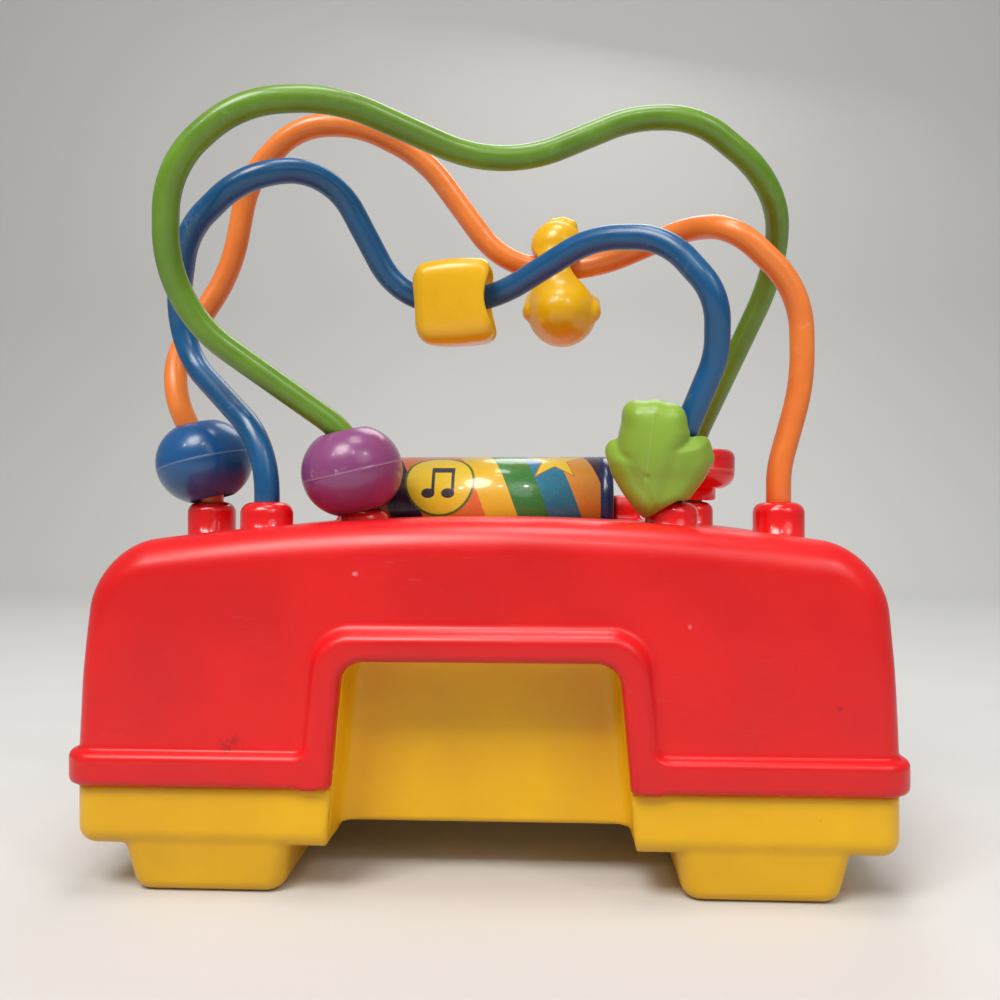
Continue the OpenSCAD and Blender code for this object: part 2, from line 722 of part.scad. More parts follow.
module bottom_housing() {
    inner_y = half_d - wall;
    color(yellow) difference() {
        union() {
            difference() {
                union() {
                    tub(0);
                    translate([0, 0, split_z - through]) linear_extrude(lip_h + through) lip_outline(0);
                    for (x = [-1, 1], y = [-1, 1]) {
                        translate([x * foot_x, y * foot_y, 0]) foot();
                    }
                }
                difference() {
                    tub(wall);
                    belly_cut(wall);
                }
                translate([0, 0, split_z]) linear_extrude(lip_h + through)
                    rounded_rect(half_w - wall, half_d - wall, corner_r - wall);
                belly_cut(0);
            }
            front_and_back(recess_back_y - wall, recess_front_y)
                recess_outline(wall, recess_r + wall, belly_z);
            front_and_back(recess_back_y - wall, inner_y) intersection() {
                recess_outline(wall, recess_r + wall, belly_z);
                translate([-base_w / 2, 0]) square([base_w, split_z]);
            }
            at_housing_screws() translate([0, 0, pod_z]) cylinder(h = post_top_z - pod_z, d = post_d);
            translate([speaker_x, 0, pod_z]) cylinder(h = wall + speaker_rim_h, d = speaker_d + 2 * wall);
            battery_box();
        }
        recess_void(recess_back_y);
        at_housing_screws() translate([0, 0, -through])
            cylinder(h = screw_seat_z + through, d = screw_head_d + 2 * screw_room);
        at_housing_screws() cylinder(h = post_top_z + through, d = screw_d + screw_room);
        translate([speaker_x, 0, pod_z + wall])
            cylinder(h = speaker_rim_h + through, d = speaker_d + 2 * seat_gap);
        speaker_holes();
        battery_space();
    }
}

// Beads, each with its bore along its own z axis
module ball_bead() {
    rotate_extrude() difference() {
        translate([ball_d / 2 - ball_flank_r, 0]) circle(ball_flank_r);
        translate([-ball_d, -ball_d]) square([ball_d + ball_bore / 2, 2 * ball_d]);
    }
}

module blue_ball() {
    s = from_left(orange_left, blue_ball_s);
    axis_s = from_left(orange_left, ball_axis_s);
    color(blue) threaded(orange_path, s, shift = blue_ball_shift, axis_s = axis_s) ball_bead();
}

module purple_ball() {
    s = from_left(green_left, purple_ball_s);
    axis_s = from_left(green_left, ball_axis_s);
    color(purple) threaded(green_path, s, shift = purple_ball_shift, axis_s = axis_s) ball_bead();
}

module bore(d, l) {
    translate([0, 0, -l]) cylinder(h = 2 * l, d = d);
}

module blob(at, d) {
    translate(at) sphere(d = d, $fn = bead_facets);
}

module yellow_cube() {
    dish_r = cube_w;
    c = cube_w / 2 - cube_r;
    s = past_bend(blue_path, cube_bend, cube_past);
    color(yellow) threaded(blue_path, s, cube_facing, shift = cube_shift) difference() {
        hull() for (x = [-c, c], y = [-c, c], z = [-c, c]) {
            translate([x, y, z]) sphere(cube_r, $fn = facets);
        }
        bore(cube_bore, cube_w);
        for (side = [-1, 1]) {
            translate([0, 0, side * (cube_w / 2 + dish_r - cube_dish_depth)]) sphere(dish_r);
        }
    }
}

// Own axes of the duck: z along the wire, y up, x towards its beak
module yellow_duck() {
    s = past_bend(orange_path, duck_bend, duck_past);
    color(yellow) threaded(orange_path, s, [0, 0, 1], 1, duck_shift) difference() {
        union() {
            translate([duck_head[0], duck_head[1], 0]) sphere(d = duck_head_d);
            translate([0, 0, duck_body_along]) {
                hull() {
                    blob([duck_chest[0], duck_chest[1], 0], duck_body_d - duck_chest_less);
                    blob([duck_body[0], duck_body[1], 0], duck_body_d);
                    blob([duck_tail[0], duck_tail[1], 0], duck_body_d - duck_tail_less);
                }
                duck_wings();
            }
            rotate([90, 0, 0]) translate([0, 0, -duck_head[1]])
                cylinder(h = duck_head[1] - duck_body[1], d = bead_bore + 2 * duck_neck_wall);
            hull() for (z = duck_tuft_along) {
                blob([0, duck_head[1] + (duck_head_d - duck_tuft_d / 2) / 2, z], duck_tuft_d);
            }
            hull() for (side = [-1, 1], k = [0, 1]) {
                blob([duck_beak_x[k], duck_head[1], side * duck_beak_half_w[k]], duck_beak_d);
            }
        }
        bore(bead_bore, duck_body_d);
    }
}

module duck_wings() {
    wing_z = (duck_body_d - duck_wing_d) / 2 + 2;
    for (side = [-1, 1]) {
        hull() for (k = [0, 1]) {
            blob([duck_wing_x[k], duck_body[1] + k * duck_wing_up, side * wing_z], duck_wing_d);
        }
    }
}

// Own axes of the frog: z up its body, y towards the viewer, x to the viewer's left
module frog_body() {
    arm_x = (frog_w - frog_round_d) / 2;
    head_x = (frog_head_w - frog_head_edge_d) / 2;
    head_z = (frog_h - frog_head_edge_d) / 2 - frog_lobe_out;
    lobe_z = (frog_h - frog_lobe_d) / 2;
    layer = (frog_t - frog_round_d) / 2;
    hull() for (y = [-layer, layer]) {
        for (x = [-1, 1]) {
            blob([x * arm_x, frog_arm_share * y, frog_arm_up], frog_round_d);
            blob([x * frog_hip[0], frog_edge_share * y, frog_hip[1]], frog_round_d);
            blob([x * frog_thigh[0], y, frog_thigh[1]], frog_round_d);
        }
        blob([frog_tip_side, frog_edge_share * y, (frog_tip_d - frog_h) / 2], frog_tip_d);
    }
    hull() for (y = [-layer, layer], x = [-1, 1]) {
        blob([x * head_x, frog_edge_share * y, head_z], frog_head_edge_d);
        blob([x * head_x, y, frog_arm_up], frog_head_edge_d);
        blob([x * head_x, y, frog_thigh[1]], frog_round_d);
    }
    for (x = [-frog_lobe_x, 0, frog_lobe_x]) {
        hull() for (y = [-1, 1]) {
            blob([x, y * layer / 2, lobe_z - abs(x) / 10], frog_lobe_d);
        }
    }
}

// The frog hangs over its socket, so its foot is hollow there
module green_frog() {
    s = from_right(blue_path, blue_right, frog_up);
    color(green) difference() {
        threaded(blue_path, s, way = -1, shift = frog_shift) difference() {
            rotate([0, frog_lean, 0]) translate([frog_side, frog_front, 0]) frog_body();
            bore(bead_bore, 2 * frog_h);
        }
        translate([blue_right[0], blue_right[1], socket_z - frog_h])
            cylinder(h = frog_h + 2 * clear, d = socket_d + 2 * frog_socket_gap);
    }
}

module red_saucer() {
    bore_r = bead_bore / 2;
    s = from_right(green_path, green_right, saucer_up);
    color(red) threaded(green_path, s, way = -1, shift = saucer_shift) rotate_extrude() {
        ring_section(bore_r, saucer_d / 2, saucer_t / 2, saucer_rim_r);
        ring_section(bore_r, bore_r + saucer_hub_wall, saucer_hub_l, saucer_hub_edge_r);
    }
}

// Half section of a ring from its bore to its outer radius, with round outer edges
module ring_section(bore_r, outer_r, half, edge) {
    translate([bore_r, -half]) square([outer_r - edge - bore_r, 2 * half]);
    translate([bore_r, edge - half]) square([outer_r - bore_r, 2 * (half - edge)]);
    for (z = [edge - half, half - edge]) {
        translate([outer_r - edge, z]) circle(edge);
    }
}

// Roller
module roller_tube() {
    color(navy) difference() {
        along_x(cap_l - roller_l / 2, roller_l / 2 - cap_l, tube_d);
        along_x(-roller_l / 2, roller_l / 2, tube_d - 2 * tube_wall);
    }
}

module roller_label() {
    color(orange) difference() {
        along_x(cap_l - roller_l / 2, roller_l / 2 - cap_l, roller_d);
        along_x(-roller_l / 2, roller_l / 2, tube_d);
    }
}

module roller_cap(side) {
    plug_r = tube_d / 2 - tube_wall;
    bore_r = axle_d / 2 + axle_fit;
    hub_r = axle_d;
    outer_x = side * (roller_l / 2 - cap_l);
    color(navy) translate([outer_x, 0, roller_z]) rotate([0, side * 90, 0]) rotate_extrude() {
        translate([bore_r, 0]) square([roller_d / 2 - bore_r, cap_l - cap_edge_r]);
        translate([bore_r, 0]) square([roller_d / 2 - cap_edge_r - bore_r, cap_l]);
        translate([roller_d / 2 - cap_edge_r, cap_l - cap_edge_r]) circle(cap_edge_r);
        translate([bore_r, -cap_plug_l]) square([hub_r - bore_r, cap_plug_l]);
        translate([plug_r - tube_wall, -cap_plug_l]) square([tube_wall, cap_plug_l]);
    }
}

module roller_axle() { color(steel) along_x(well_left - bracket_l, well_right + bracket_l, axle_d); }

// Cam: a wheel with lobes on the roller's left end, which lifts the contact spring as the roller turns
module roller_cam() {
    color(navy) translate([-roller_l / 2, 0, roller_z]) rotate([0, -90, 0]) linear_extrude(cam_l)
        difference() {
            union() {
                circle(cam_r);
                for (k = [0 : cam_lobes - 1]) {
                    rotate((k + 0.5) * 360 / cam_lobes) translate([cam_r, 0]) circle(lobe_r);
                }
            }
            circle(d = axle_d + 2 * axle_fit);
        }
}

// Contact spring: a steel strip that stands on the board and ends just below the cam's lobes
module leaf_contact() {
    low_z = board_z + board_t;
    top_z = roller_z - cam_r - lobe_r - clear;
    color(steel) translate([contact_x - contact_w / 2, -contact_d / 2, 0]) {
        translate([0, 0, low_z]) cube([contact_w, contact_d, contact_t]);
        translate([0, 0, low_z]) cube([contact_w, contact_t, top_z - low_z]);
        translate([0, 0, top_z - contact_t]) cube([contact_w, contact_d, contact_t]);
    }
}

module circuit_board() {
    color([0.10, 0.40, 0.20]) difference() {
        translate([board_x - board_w / 2, -board_d / 2, board_z]) cube([board_w, board_d, board_t]);
        at_board_screws() translate([0, 0, board_z - through])
            cylinder(h = board_t + 2 * through, d = screw_core_d + screw_room);
    }
}

module sound_chip() {
    color([0.05, 0.05, 0.05]) translate([board_x, 0, board_z - chip[2]]) linear_extrude(chip[2])
        rounded_rect(chip[0] / 2, chip[1] / 2, 1);
}

module board_screws() {
    color(steel) at_board_screws() {
        translate([0, 0, board_z - board_screw_head_h]) cylinder(h = board_screw_head_h, d = screw_head_d);
        translate([0, 0, board_z - board_screw_head_h])
            cylinder(h = board_screw_head_h + board_screw_l, d = screw_core_d);
    }
}

// Sound and power
module speaker() {
    rim_r = speaker_d / 2;
    magnet_r = speaker_d / 4;
    color([0.15, 0.15, 0.16]) translate([speaker_x, 0, pod_z + wall]) rotate_extrude() {
        square([rim_r, speaker_rim_t]);
        polygon([
            [0, speaker_rim_t], [rim_r - speaker_step, speaker_rim_t],
            [magnet_r + speaker_step, speaker_basket_h], [0, speaker_basket_h]
        ]);
        square([magnet_r, speaker_h]);
    }
}

module battery_door() {
    color(yellow) difference() {
        translate([-door_w / 2 + seat_gap, -door_d / 2 + seat_gap, belly_z])
            cube([door_w - 2 * seat_gap, door_d - 2 * seat_gap, door_t]);
        translate([door_screw_x, 0, belly_z - through])
            cylinder(h = door_t + 2 * through, d = screw_core_d + screw_room);
    }
}

module battery_door_screw() {
    color(steel) translate([door_screw_x, 0, belly_z]) {
        translate([0, 0, -screw_head_h]) cylinder(h = screw_head_h, d = screw_head_d);
        cylinder(h = door_screw_l, d = screw_core_d);
    }
}

module batteries() {
    nub_d = 5.5;
    nub_l = 1;
    for (side = [-1, 1]) {
        at = [0, side * (cell_d + cell_gap) / 2, belly_z + door_t + cell_gap + cell_d / 2];
        color(steel) translate(at) rotate([0, side * 90, 0]) {
            translate([0, 0, -cell_l / 2]) cylinder(h = cell_l - nub_l, d = cell_d);
            translate([0, 0, cell_l / 2 - nub_l]) cylinder(h = nub_l, d = nub_d);
        }
    }
}

module battery_contacts() {
    for (x = [-box_l / 2, box_l / 2 - contact_plate_t]) {
        color(steel) translate([x, -cell_d, belly_z + door_t + cell_gap + cell_d / 4])
            cube([contact_plate_t, 2 * cell_d, cell_d / 2]);
    }
}

module housing_screws() {
    color(steel) at_housing_screws() {
        translate([0, 0, screw_seat_z - screw_head_h]) cylinder(h = screw_head_h, d = screw_head_d);
        translate([0, 0, screw_seat_z - screw_head_h]) cylinder(h = screw_l + screw_head_h, d = screw_d);
    }
}

top_housing();
bottom_housing();
green_wire();
blue_wire();
orange_wire();
wire_socket(green_left);  // green_left_socket
wire_socket(green_right);  // green_right_socket
wire_socket(blue_left);  // blue_left_socket
wire_socket(blue_right);  // blue_right_socket
wire_socket(orange_left);  // orange_left_socket
wire_socket(orange_right);  // orange_right_socket
wire_retainers();
blue_ball();
purple_ball();
yellow_cube();
yellow_duck();
green_frog();
red_saucer();
roller_tube();
roller_label();
roller_cap(-1);  // roller_left_cap
roller_cap(1);  // roller_right_cap
roller_axle();
roller_cam();
leaf_contact();
circuit_board();
sound_chip();
board_screws();
speaker();
battery_door();
battery_door_screw();
batteries();
battery_contacts();
housing_screws();
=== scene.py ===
"""Looks of the musical bead maze, built round its solids: metres in Blender, millimetres in the sizes below.

The moulded pieces are distance fields turned into meshes, so their edges carry the fillets of a mould.
The turned pieces are revolved profiles, and the wires are swept along the same bends as the solids.
"""

import math

import bpy
import numpy as np
from mathutils import Matrix, Vector


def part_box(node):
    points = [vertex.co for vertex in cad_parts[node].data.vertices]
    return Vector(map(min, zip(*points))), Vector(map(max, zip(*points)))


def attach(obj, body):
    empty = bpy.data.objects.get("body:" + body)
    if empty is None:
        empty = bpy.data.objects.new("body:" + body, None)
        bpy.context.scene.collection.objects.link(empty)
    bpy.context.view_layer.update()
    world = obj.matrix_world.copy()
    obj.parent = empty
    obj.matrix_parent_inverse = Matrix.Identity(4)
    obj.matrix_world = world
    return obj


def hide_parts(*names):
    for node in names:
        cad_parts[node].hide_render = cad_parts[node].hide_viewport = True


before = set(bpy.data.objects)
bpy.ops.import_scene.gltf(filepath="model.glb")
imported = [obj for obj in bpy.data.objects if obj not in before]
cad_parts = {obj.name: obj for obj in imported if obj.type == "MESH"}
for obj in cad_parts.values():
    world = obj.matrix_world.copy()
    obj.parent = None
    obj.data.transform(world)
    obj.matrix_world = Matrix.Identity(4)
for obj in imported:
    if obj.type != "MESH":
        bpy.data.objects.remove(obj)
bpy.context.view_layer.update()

MM = 0.001


def box_mm(node):
    """Lowest and highest corner of a solid, in millimetres."""
    return [np.array(corner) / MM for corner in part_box(node)]


# Base: sizes that the solids' boxes give, and the driving sizes that they don't
top_lo, top_hi = box_mm("top_housing")
BASE_W, BASE_D = (top_hi - top_lo)[:2]
SPLIT_Z = top_lo[2]
CROWN_Z = 122.0
CROWN_R = 850.0
DRAFT = math.tan(math.radians(1.9))
EDGE_R = 12.0
CORNER_R = 6.5
EDGE_LOW_Z, EDGE_HIGH_Z = 66.0, 110.0
SHOULDER_R = 20.0
WALL = 2.6
FLANGE_H = 11.0
FLANGE_OUT = 3.2
FLANGE_EDGE_R = 2.4
FLANGE_FILLET_R = 0.9
SPLIT_EDGE_R = 0.4
HALF_W = BASE_W / 2 - FLANGE_OUT
HALF_D = BASE_D / 2 - FLANGE_OUT
FLANGE_TOP_Z = SPLIT_Z + FLANGE_H
ARCH_Z = CROWN_Z - CROWN_R

# Grip recess and the band round it
RECESS_TOP_W = 88.0
RECESS_LOW_W = 95.0
RECESS_TOP_Z = 76.5
RECESS_DEPTH = 21.0
RECESS_R = 7.0
RECESS_FILLET_R = 6.0
RECESS_RIM_R = 2.5
RECESS_SLOPE = (RECESS_LOW_W - RECESS_TOP_W) / 2 / (RECESS_TOP_Z - SPLIT_Z)
RECESS_BACK_Y = HALF_D - RECESS_DEPTH
RECESS_FRONT_Y = HALF_D - (RECESS_TOP_Z + WALL - FLANGE_TOP_Z) * DRAFT - WALL
BAND_W = 9.0
BAND_OUTER_R = 11.0
BAND_EDGE_R = 3.0
BAND_FILLET_R = 3.5

# Pods and feet
FOOT_H = 16.0
FOOT_W, FOOT_D = 55.0, 47.0
FOOT_X = HALF_W - 14.8 - FOOT_W / 2
FOOT_Y = HALF_D - 1.8 - FOOT_D / 2
FOOT_TAPER = 3.0
FOOT_R = 4.0
FOOT_CORNER_R = 6.0
POD_R = 6.0
POD_INNER_R = 0.9
FOOT_FILLET_R = 0.8
BELLY_R = 1.0
BELLY_Z = FOOT_H + 3.0
BELLY_HALF_W = RECESS_TOP_W / 2 + (RECESS_TOP_Z - FOOT_H) * RECESS_SLOPE
SCREW_X, SCREW_Y = 104.0, 52.0
SCREW_BORE_R = 3.2
SCREW_RIM_R = 0.5
SCREW_SEAT_Z = 54.0
POST_R = 5.0
POST_TOP_Z = 60.0
SPEAKER_X = -86.0
SPEAKER_HOLE_R = 1.3
SPEAKER_HOLE_PITCH = 5.0
DOOR_W, DOOR_D, DOOR_T = 70.0, 40.0, 1.5

# Wires and sockets
WIRE_R = 4.35
SOCKET_R = 9.0
SOCKET_Z = CROWN_Z + 5.0
SOCKET_EDGE_R = 4.0
SOCKET_COLLAR_OUT, SOCKET_COLLAR_H = 1.0, 2.5
SOCKET_WIRE_GAP = 0.05
SOCKET_LIP, SOCKET_LIP_RISE = 0.5, 0.1
SOCKET_HOLE_GAP = 0.1
SOCKET_HOLE_RIM_R = 0.7
LOW_SOCKET_DROP = 2.5
WIRE_TAIL = 12.0
GREEN_ENDS = (-44, -33), (84, 46)
BLUE_ENDS = (-76, -45), (64, -41)
ORANGE_ENDS = (-108, -10), (104, -26)
# Bend corners as (x, y, height above the socket tops, bend radius)
GREEN_BENDS = [
    (-44, -33, 20, 34), (-108, -55, 67, 44), (-102, -69, 109, 36), (-78, -70, 129, 42), (-49, -60, 134, 60),
    (5, -35, 117, 60), (52, -28, 138, 40), (75, -29, 137, 33), (105, -20, 116, 42), (112, 10, 93, 55),
    (84, 46, 24, 36),
]
BLUE_BENDS = [
    (-76, -45, 20, 34), (-121, -16, 61, 26), (-107, -38, 97, 36), (-82, -50, 113, 27), (-56, -35, 119, 23),
    (-33, -20, 74, 26), (0, -21, 74, 45), (37, -40, 92, 40), (61, -50, 89, 28), (77, -57, 68, 20),
    (78, -50, 49, 30), (64, -41, 13, 32),
]
ORANGE_BENDS = [
    (-108, -10, 10, 34), (-122, -10, 39, 36), (-125, -4, 57, 26), (-104, 1, 92, 70), (-96, -2, 128, 36),
    (-75, -7, 146, 30), (-52, -4, 147, 42), (-27, 3, 136, 48), (4, 9, 94, 34), (38, 8, 92, 55),
    (75, -12, 103, 30), (88, -29, 98, 19), (112, -26, 76, 36), (113, -24, 43, 70), (104, -26, 12, 40),
]

# Beads
BEAD_BORE_R = 7.5
BORE_EDGE_R = 0.8
RIDGE_OUT, RIDGE_HALF = 0.12, 0.14
BALL_R = 18.0
BALL_FLANK_R = 15.8
BALL_BORE_R = 8.5
BALL_HALF = math.sqrt(BALL_FLANK_R ** 2 - (BALL_BORE_R - BALL_R + BALL_FLANK_R) ** 2)
BALL_RIDGE_TURN = 1.2
BALL_AXIS_S = 10.0
BLUE_BALL_GAP = 1.5
BLUE_BALL_SHIFT = 0, 0.5
PURPLE_BALL_SHIFT = 3, 1.5
CUBE_HALF = 15.5
CUBE_POWER = 5
CUBE_R = 5.5
CUBE_BULGE = 0.006
CUBE_DRAFT = 0.1
CUBE_LEFT_DISH_R, CUBE_LEFT_DISH = 22.6, 3.0
CUBE_RIGHT_DISH_R, CUBE_RIGHT_DISH = 16.6, 12.0
CUBE_DISH_EDGE_R = 1.2
CUBE_BORE_R = 8.0
CUBE_BEND, CUBE_PAST_BEND = 5, 5.6
CUBE_FACING = 0, -1, -0.12
CUBE_SHIFT = -0.69, 0.59
CUBE_REACH = 18, 18, 18
SAUCER_R = 16.5
SAUCER_HALF = 8.5
SAUCER_HUB_HALF = SAUCER_HALF + 5.0
SAUCER_HUB_R = BEAD_BORE_R + 1.2
SAUCER_HUB_EDGE = 1.0
SAUCER_LOW_R = 7.0
SAUCER_TOP_R = 4.0
SAUCER_RIDGE_FOOT = 0.3
SAUCER_BORE_EDGE = 0.6
SAUCER_GAP = 1.0
SAUCER_SHIFT = -1.5, 0.75

# Roller
label_lo, label_hi = box_mm("roller_label")
ROLLER_R = (label_hi - label_lo)[1] / 2
ROLLER_Z = (label_lo + label_hi)[2] / 2
ROLLER_HALF = box_mm("roller_right_cap")[1][0]
LABEL_HALF = label_hi[0]
LABEL_T = 0.4
CAP_EDGE_R = 2.5
CAP_RIM_W = 5.0
CAP_HUB_R = 7.0
CAP_DISH_SLOPE, CAP_DISH_DEPTH = 1.0, 0.6
CAP_PLUG_L = 8.0
CAP_WEB = 1.0
TUBE_WALL = 2.5
AXLE_R = 2.5
AXLE_GAP = 0.05
TROUGH_R = ROLLER_R + 2.5
WELL_LEFT = -ROLLER_HALF - 3.5
WELL_RIGHT = ROLLER_HALF + 0.5
BRACKET_L = 10.0
BRACKET_HALF_W = 9.0
BRACKET_TOP_Z = top_hi[2]
BRACKET_TOP_R = 5.0
BRACKET_EDGE_R = 2.0
BRACKET_FILLET_R = 2.0
WELL_RIM_R = 1.2

# Fineness of the meshes
HOUSING_CELL = 1.4
BEAD_CELL = 0.55


# Distance fields: p is 3 x n millimetres, and a field is below zero inside its shape
def corner(a, b, r):
    """What lies inside both fields, with the edge where they meet rounded by r."""
    a = a + r
    b = b + r
    return np.minimum(np.maximum(a, b), 0) + np.hypot(np.maximum(a, 0), np.maximum(b, 0)) - r


def join(a, b, r):
    """What lies inside either field, with a fillet of radius r where they meet."""
    return np.maximum(r, np.minimum(a, b)) - np.hypot(np.maximum(r - a, 0), np.maximum(r - b, 0))


def cut(a, b, r):
    """The first field without the second, with the cut's edge rounded by r."""
    return corner(a, -b, r)


def column(v):
    return np.array(v, float).reshape(3, 1)


def ball(p, at, r):
    return np.linalg.norm(p - column(at), axis=0) - r


def capsule(p, a, b, r):
    """A ball of radius r drawn from a to b."""
    run = column(b) - column(a)
    share = np.clip(((p - column(a)) * run).sum(0) / (run * run).sum(), 0, 1)
    return np.linalg.norm(p - column(a) - run * share, axis=0) - r


def upright(p, x, y, r):
    """An endless upright cylinder."""
    return np.hypot(p[0] - x, p[1] - y) - r


def outline(u, v, corners, r):
    """A polygon in a plane, grown by r so that its corners are round."""
    reach = np.full(u.shape, np.inf)
    inside = np.zeros(u.shape, bool)
    for (a, b), (c, d) in zip(corners, corners[1:] + corners[:1]):
        share = np.clip(((u - a) * (c - a) + (v - b) * (d - b)) / ((c - a) ** 2 + (d - b) ** 2), 0, 1)
        reach = np.minimum(reach, np.hypot(u - a - share * (c - a), v - b - share * (d - b)))
        if b != d:
            inside ^= ((v < b) != (v < d)) & (u < a + (v - b) * (c - a) / (d - b))
    return np.where(inside, -reach, reach) - r


def smooth(share):
    """A soft step from 0 to 1."""
    share = np.clip(share, 0, 1)
    return share * share * (3 - 2 * share)


def edge_radius(z):
    """Radius of the body's long edges: wide along the top and tight down the upright corners."""
    return CORNER_R + (EDGE_R - CORNER_R) * smooth((z - EDGE_LOW_Z) / (EDGE_HIGH_Z - EDGE_LOW_Z))


def arched_body(p):
    x, y, z = np.abs(p[0]), np.abs(p[1]), p[2]
    lean = (z - FLANGE_TOP_Z) * DRAFT
    arch = np.hypot(x, z - ARCH_Z) - CROWN_R
    front_view = corner(arch, x - HALF_W + lean, SHOULDER_R)
    return corner(front_view, y - HALF_D + lean, edge_radius(z))


def recess(p, grow=0.0, r=RECESS_R):
    """The recess's outline seen from the front, grown on its sides and top."""
    side = np.abs(p[0]) - RECESS_TOP_W / 2 - (RECESS_TOP_Z - p[2]) * RECESS_SLOPE - grow
    return corner(side, p[2] - RECESS_TOP_Z - grow, r)


def trim_flange(p):
    plan = corner(np.abs(p[0]) - BASE_W / 2, np.abs(p[1]) - BASE_D / 2, CORNER_R + FLANGE_OUT)
    return corner(plan, np.abs(p[2] - SPLIT_Z - FLANGE_H / 2) - FLANGE_H / 2, FLANGE_EDGE_R)


def recess_band(p):
    y = np.abs(p[1])
    band = corner(recess(p, BAND_W, BAND_OUTER_R), y - BASE_D / 2, BAND_EDGE_R)
    return np.maximum(np.maximum(band, HALF_D - EDGE_R / 2 - y), SPLIT_Z - p[2])


def along_roller(p, left, right, r):
    """A cylinder on the roller's axis."""
    ends = np.abs(p[0] - (left + right) / 2) - (right - left) / 2
    return corner(np.hypot(p[1], p[2] - ROLLER_Z) - r, ends, 0.0)


def roller_brackets(p):
    """The two upright ends that carry the axle."""
    middle = (WELL_LEFT + WELL_RIGHT) / 2
    reach = (WELL_RIGHT - WELL_LEFT) / 2
    along = np.abs(p[0] - middle) - reach - BRACKET_L
    upper = corner(np.abs(p[1]) - BRACKET_HALF_W, p[2] - BRACKET_TOP_Z, BRACKET_TOP_R)
    return np.maximum(corner(along, upper, BRACKET_EDGE_R), POST_TOP_Z - p[2])


def top_housing(p):
    y, z = np.abs(p[1]), p[2]
    body = arched_body(p)
    shape = join(body, trim_flange(p), FLANGE_FILLET_R)
    shape = np.maximum(join(shape, recess_band(p), BAND_FILLET_R), y - BASE_D / 2)
    shape = join(shape, roller_brackets(p), BRACKET_FILLET_R)
    shape = cut(shape, np.maximum(recess(p), HALF_D - EDGE_R / 2 - y), RECESS_RIM_R)
    cavity = np.maximum(body + WALL, -along_roller(p, WELL_LEFT - WALL, WELL_RIGHT + WALL, TROUGH_R + WALL))
    post = upright(np.abs(p), SCREW_X, SCREW_Y, POST_R)
    cavity = np.maximum(cavity, -np.maximum(post, POST_TOP_Z - z))
    shape = np.maximum(shape, -cavity)
    shape = cut(shape, along_roller(p, WELL_LEFT, WELL_RIGHT, TROUGH_R), WELL_RIM_R)
    for at in (*GREEN_ENDS, *BLUE_ENDS, *ORANGE_ENDS):
        hole = np.maximum(upright(p, *at, SOCKET_R + SOCKET_HOLE_GAP), POST_TOP_Z - z)
        shape = cut(shape, hole, SOCKET_HOLE_RIM_R)
    return corner(shape, SPLIT_Z - z, SPLIT_EDGE_R)


def speaker_holes(p):
    holes = upright(p, SPEAKER_X, 0, SPEAKER_HOLE_R)
    for ring in (1, 2):
        for k in range(6 * ring):
            turn = 2 * math.pi * k / (6 * ring)
            x = SPEAKER_X + SPEAKER_HOLE_PITCH * ring * math.cos(turn)
            y = SPEAKER_HOLE_PITCH * ring * math.sin(turn)
            holes = np.minimum(holes, upright(p, x, y, SPEAKER_HOLE_R))
    return np.maximum(holes, p[2] - FOOT_H - 2 * WALL)


def bottom_housing(p):
    x, y, z = np.abs(p[0]), np.abs(p[1]), p[2]
    plan = corner(x - HALF_W, y - HALF_D, CORNER_R)
    tub = np.maximum(corner(plan, FOOT_H - z, POD_R), z - SPLIT_Z)
    slope = FOOT_TAPER * (1 - z / FOOT_H)
    foot_x = np.abs(x - FOOT_X) - FOOT_W / 2 + slope
    foot_y = np.abs(y - FOOT_Y) - FOOT_D / 2 + slope
    foot = corner(corner(foot_x, foot_y, FOOT_CORNER_R), -z, FOOT_R)
    shape = join(tub, np.maximum(foot, z - FOOT_H - WALL), FOOT_FILLET_R)
    cavity = corner(plan + WALL, FOOT_H + WALL - z, POD_R - WALL)
    floor = np.maximum(x - BELLY_HALF_W - WALL, z - BELLY_Z - WALL)
    shape = np.maximum(shape, -np.maximum(cavity, -floor))
    walls = np.maximum(recess(p, WALL, RECESS_R + WALL), BELLY_Z - z)
    walls = np.maximum(walls, np.maximum(y - RECESS_FRONT_Y, RECESS_BACK_Y - WALL - y))
    post = np.maximum(upright(np.abs(p), SCREW_X, SCREW_Y, POST_R), np.maximum(FOOT_H - z, z - POST_TOP_Z))
    shape = np.minimum(np.minimum(shape, walls), post)
    shape = cut(shape, corner(x - BELLY_HALF_W, z - BELLY_Z, BELLY_R), POD_INNER_R)
    shape = cut(shape, corner(recess(p), RECESS_BACK_Y - y, RECESS_FILLET_R), POD_INNER_R)
    bore = np.maximum(upright(np.abs(p), SCREW_X, SCREW_Y, SCREW_BORE_R), z - SCREW_SEAT_Z)
    shape = cut(shape, bore, SCREW_RIM_R)
    shape = np.maximum(shape, -speaker_holes(p))
    door = np.maximum(np.maximum(x - DOOR_W / 2, y - DOOR_D / 2), z - BELLY_Z - DOOR_T)
    return np.maximum(shape, -door)


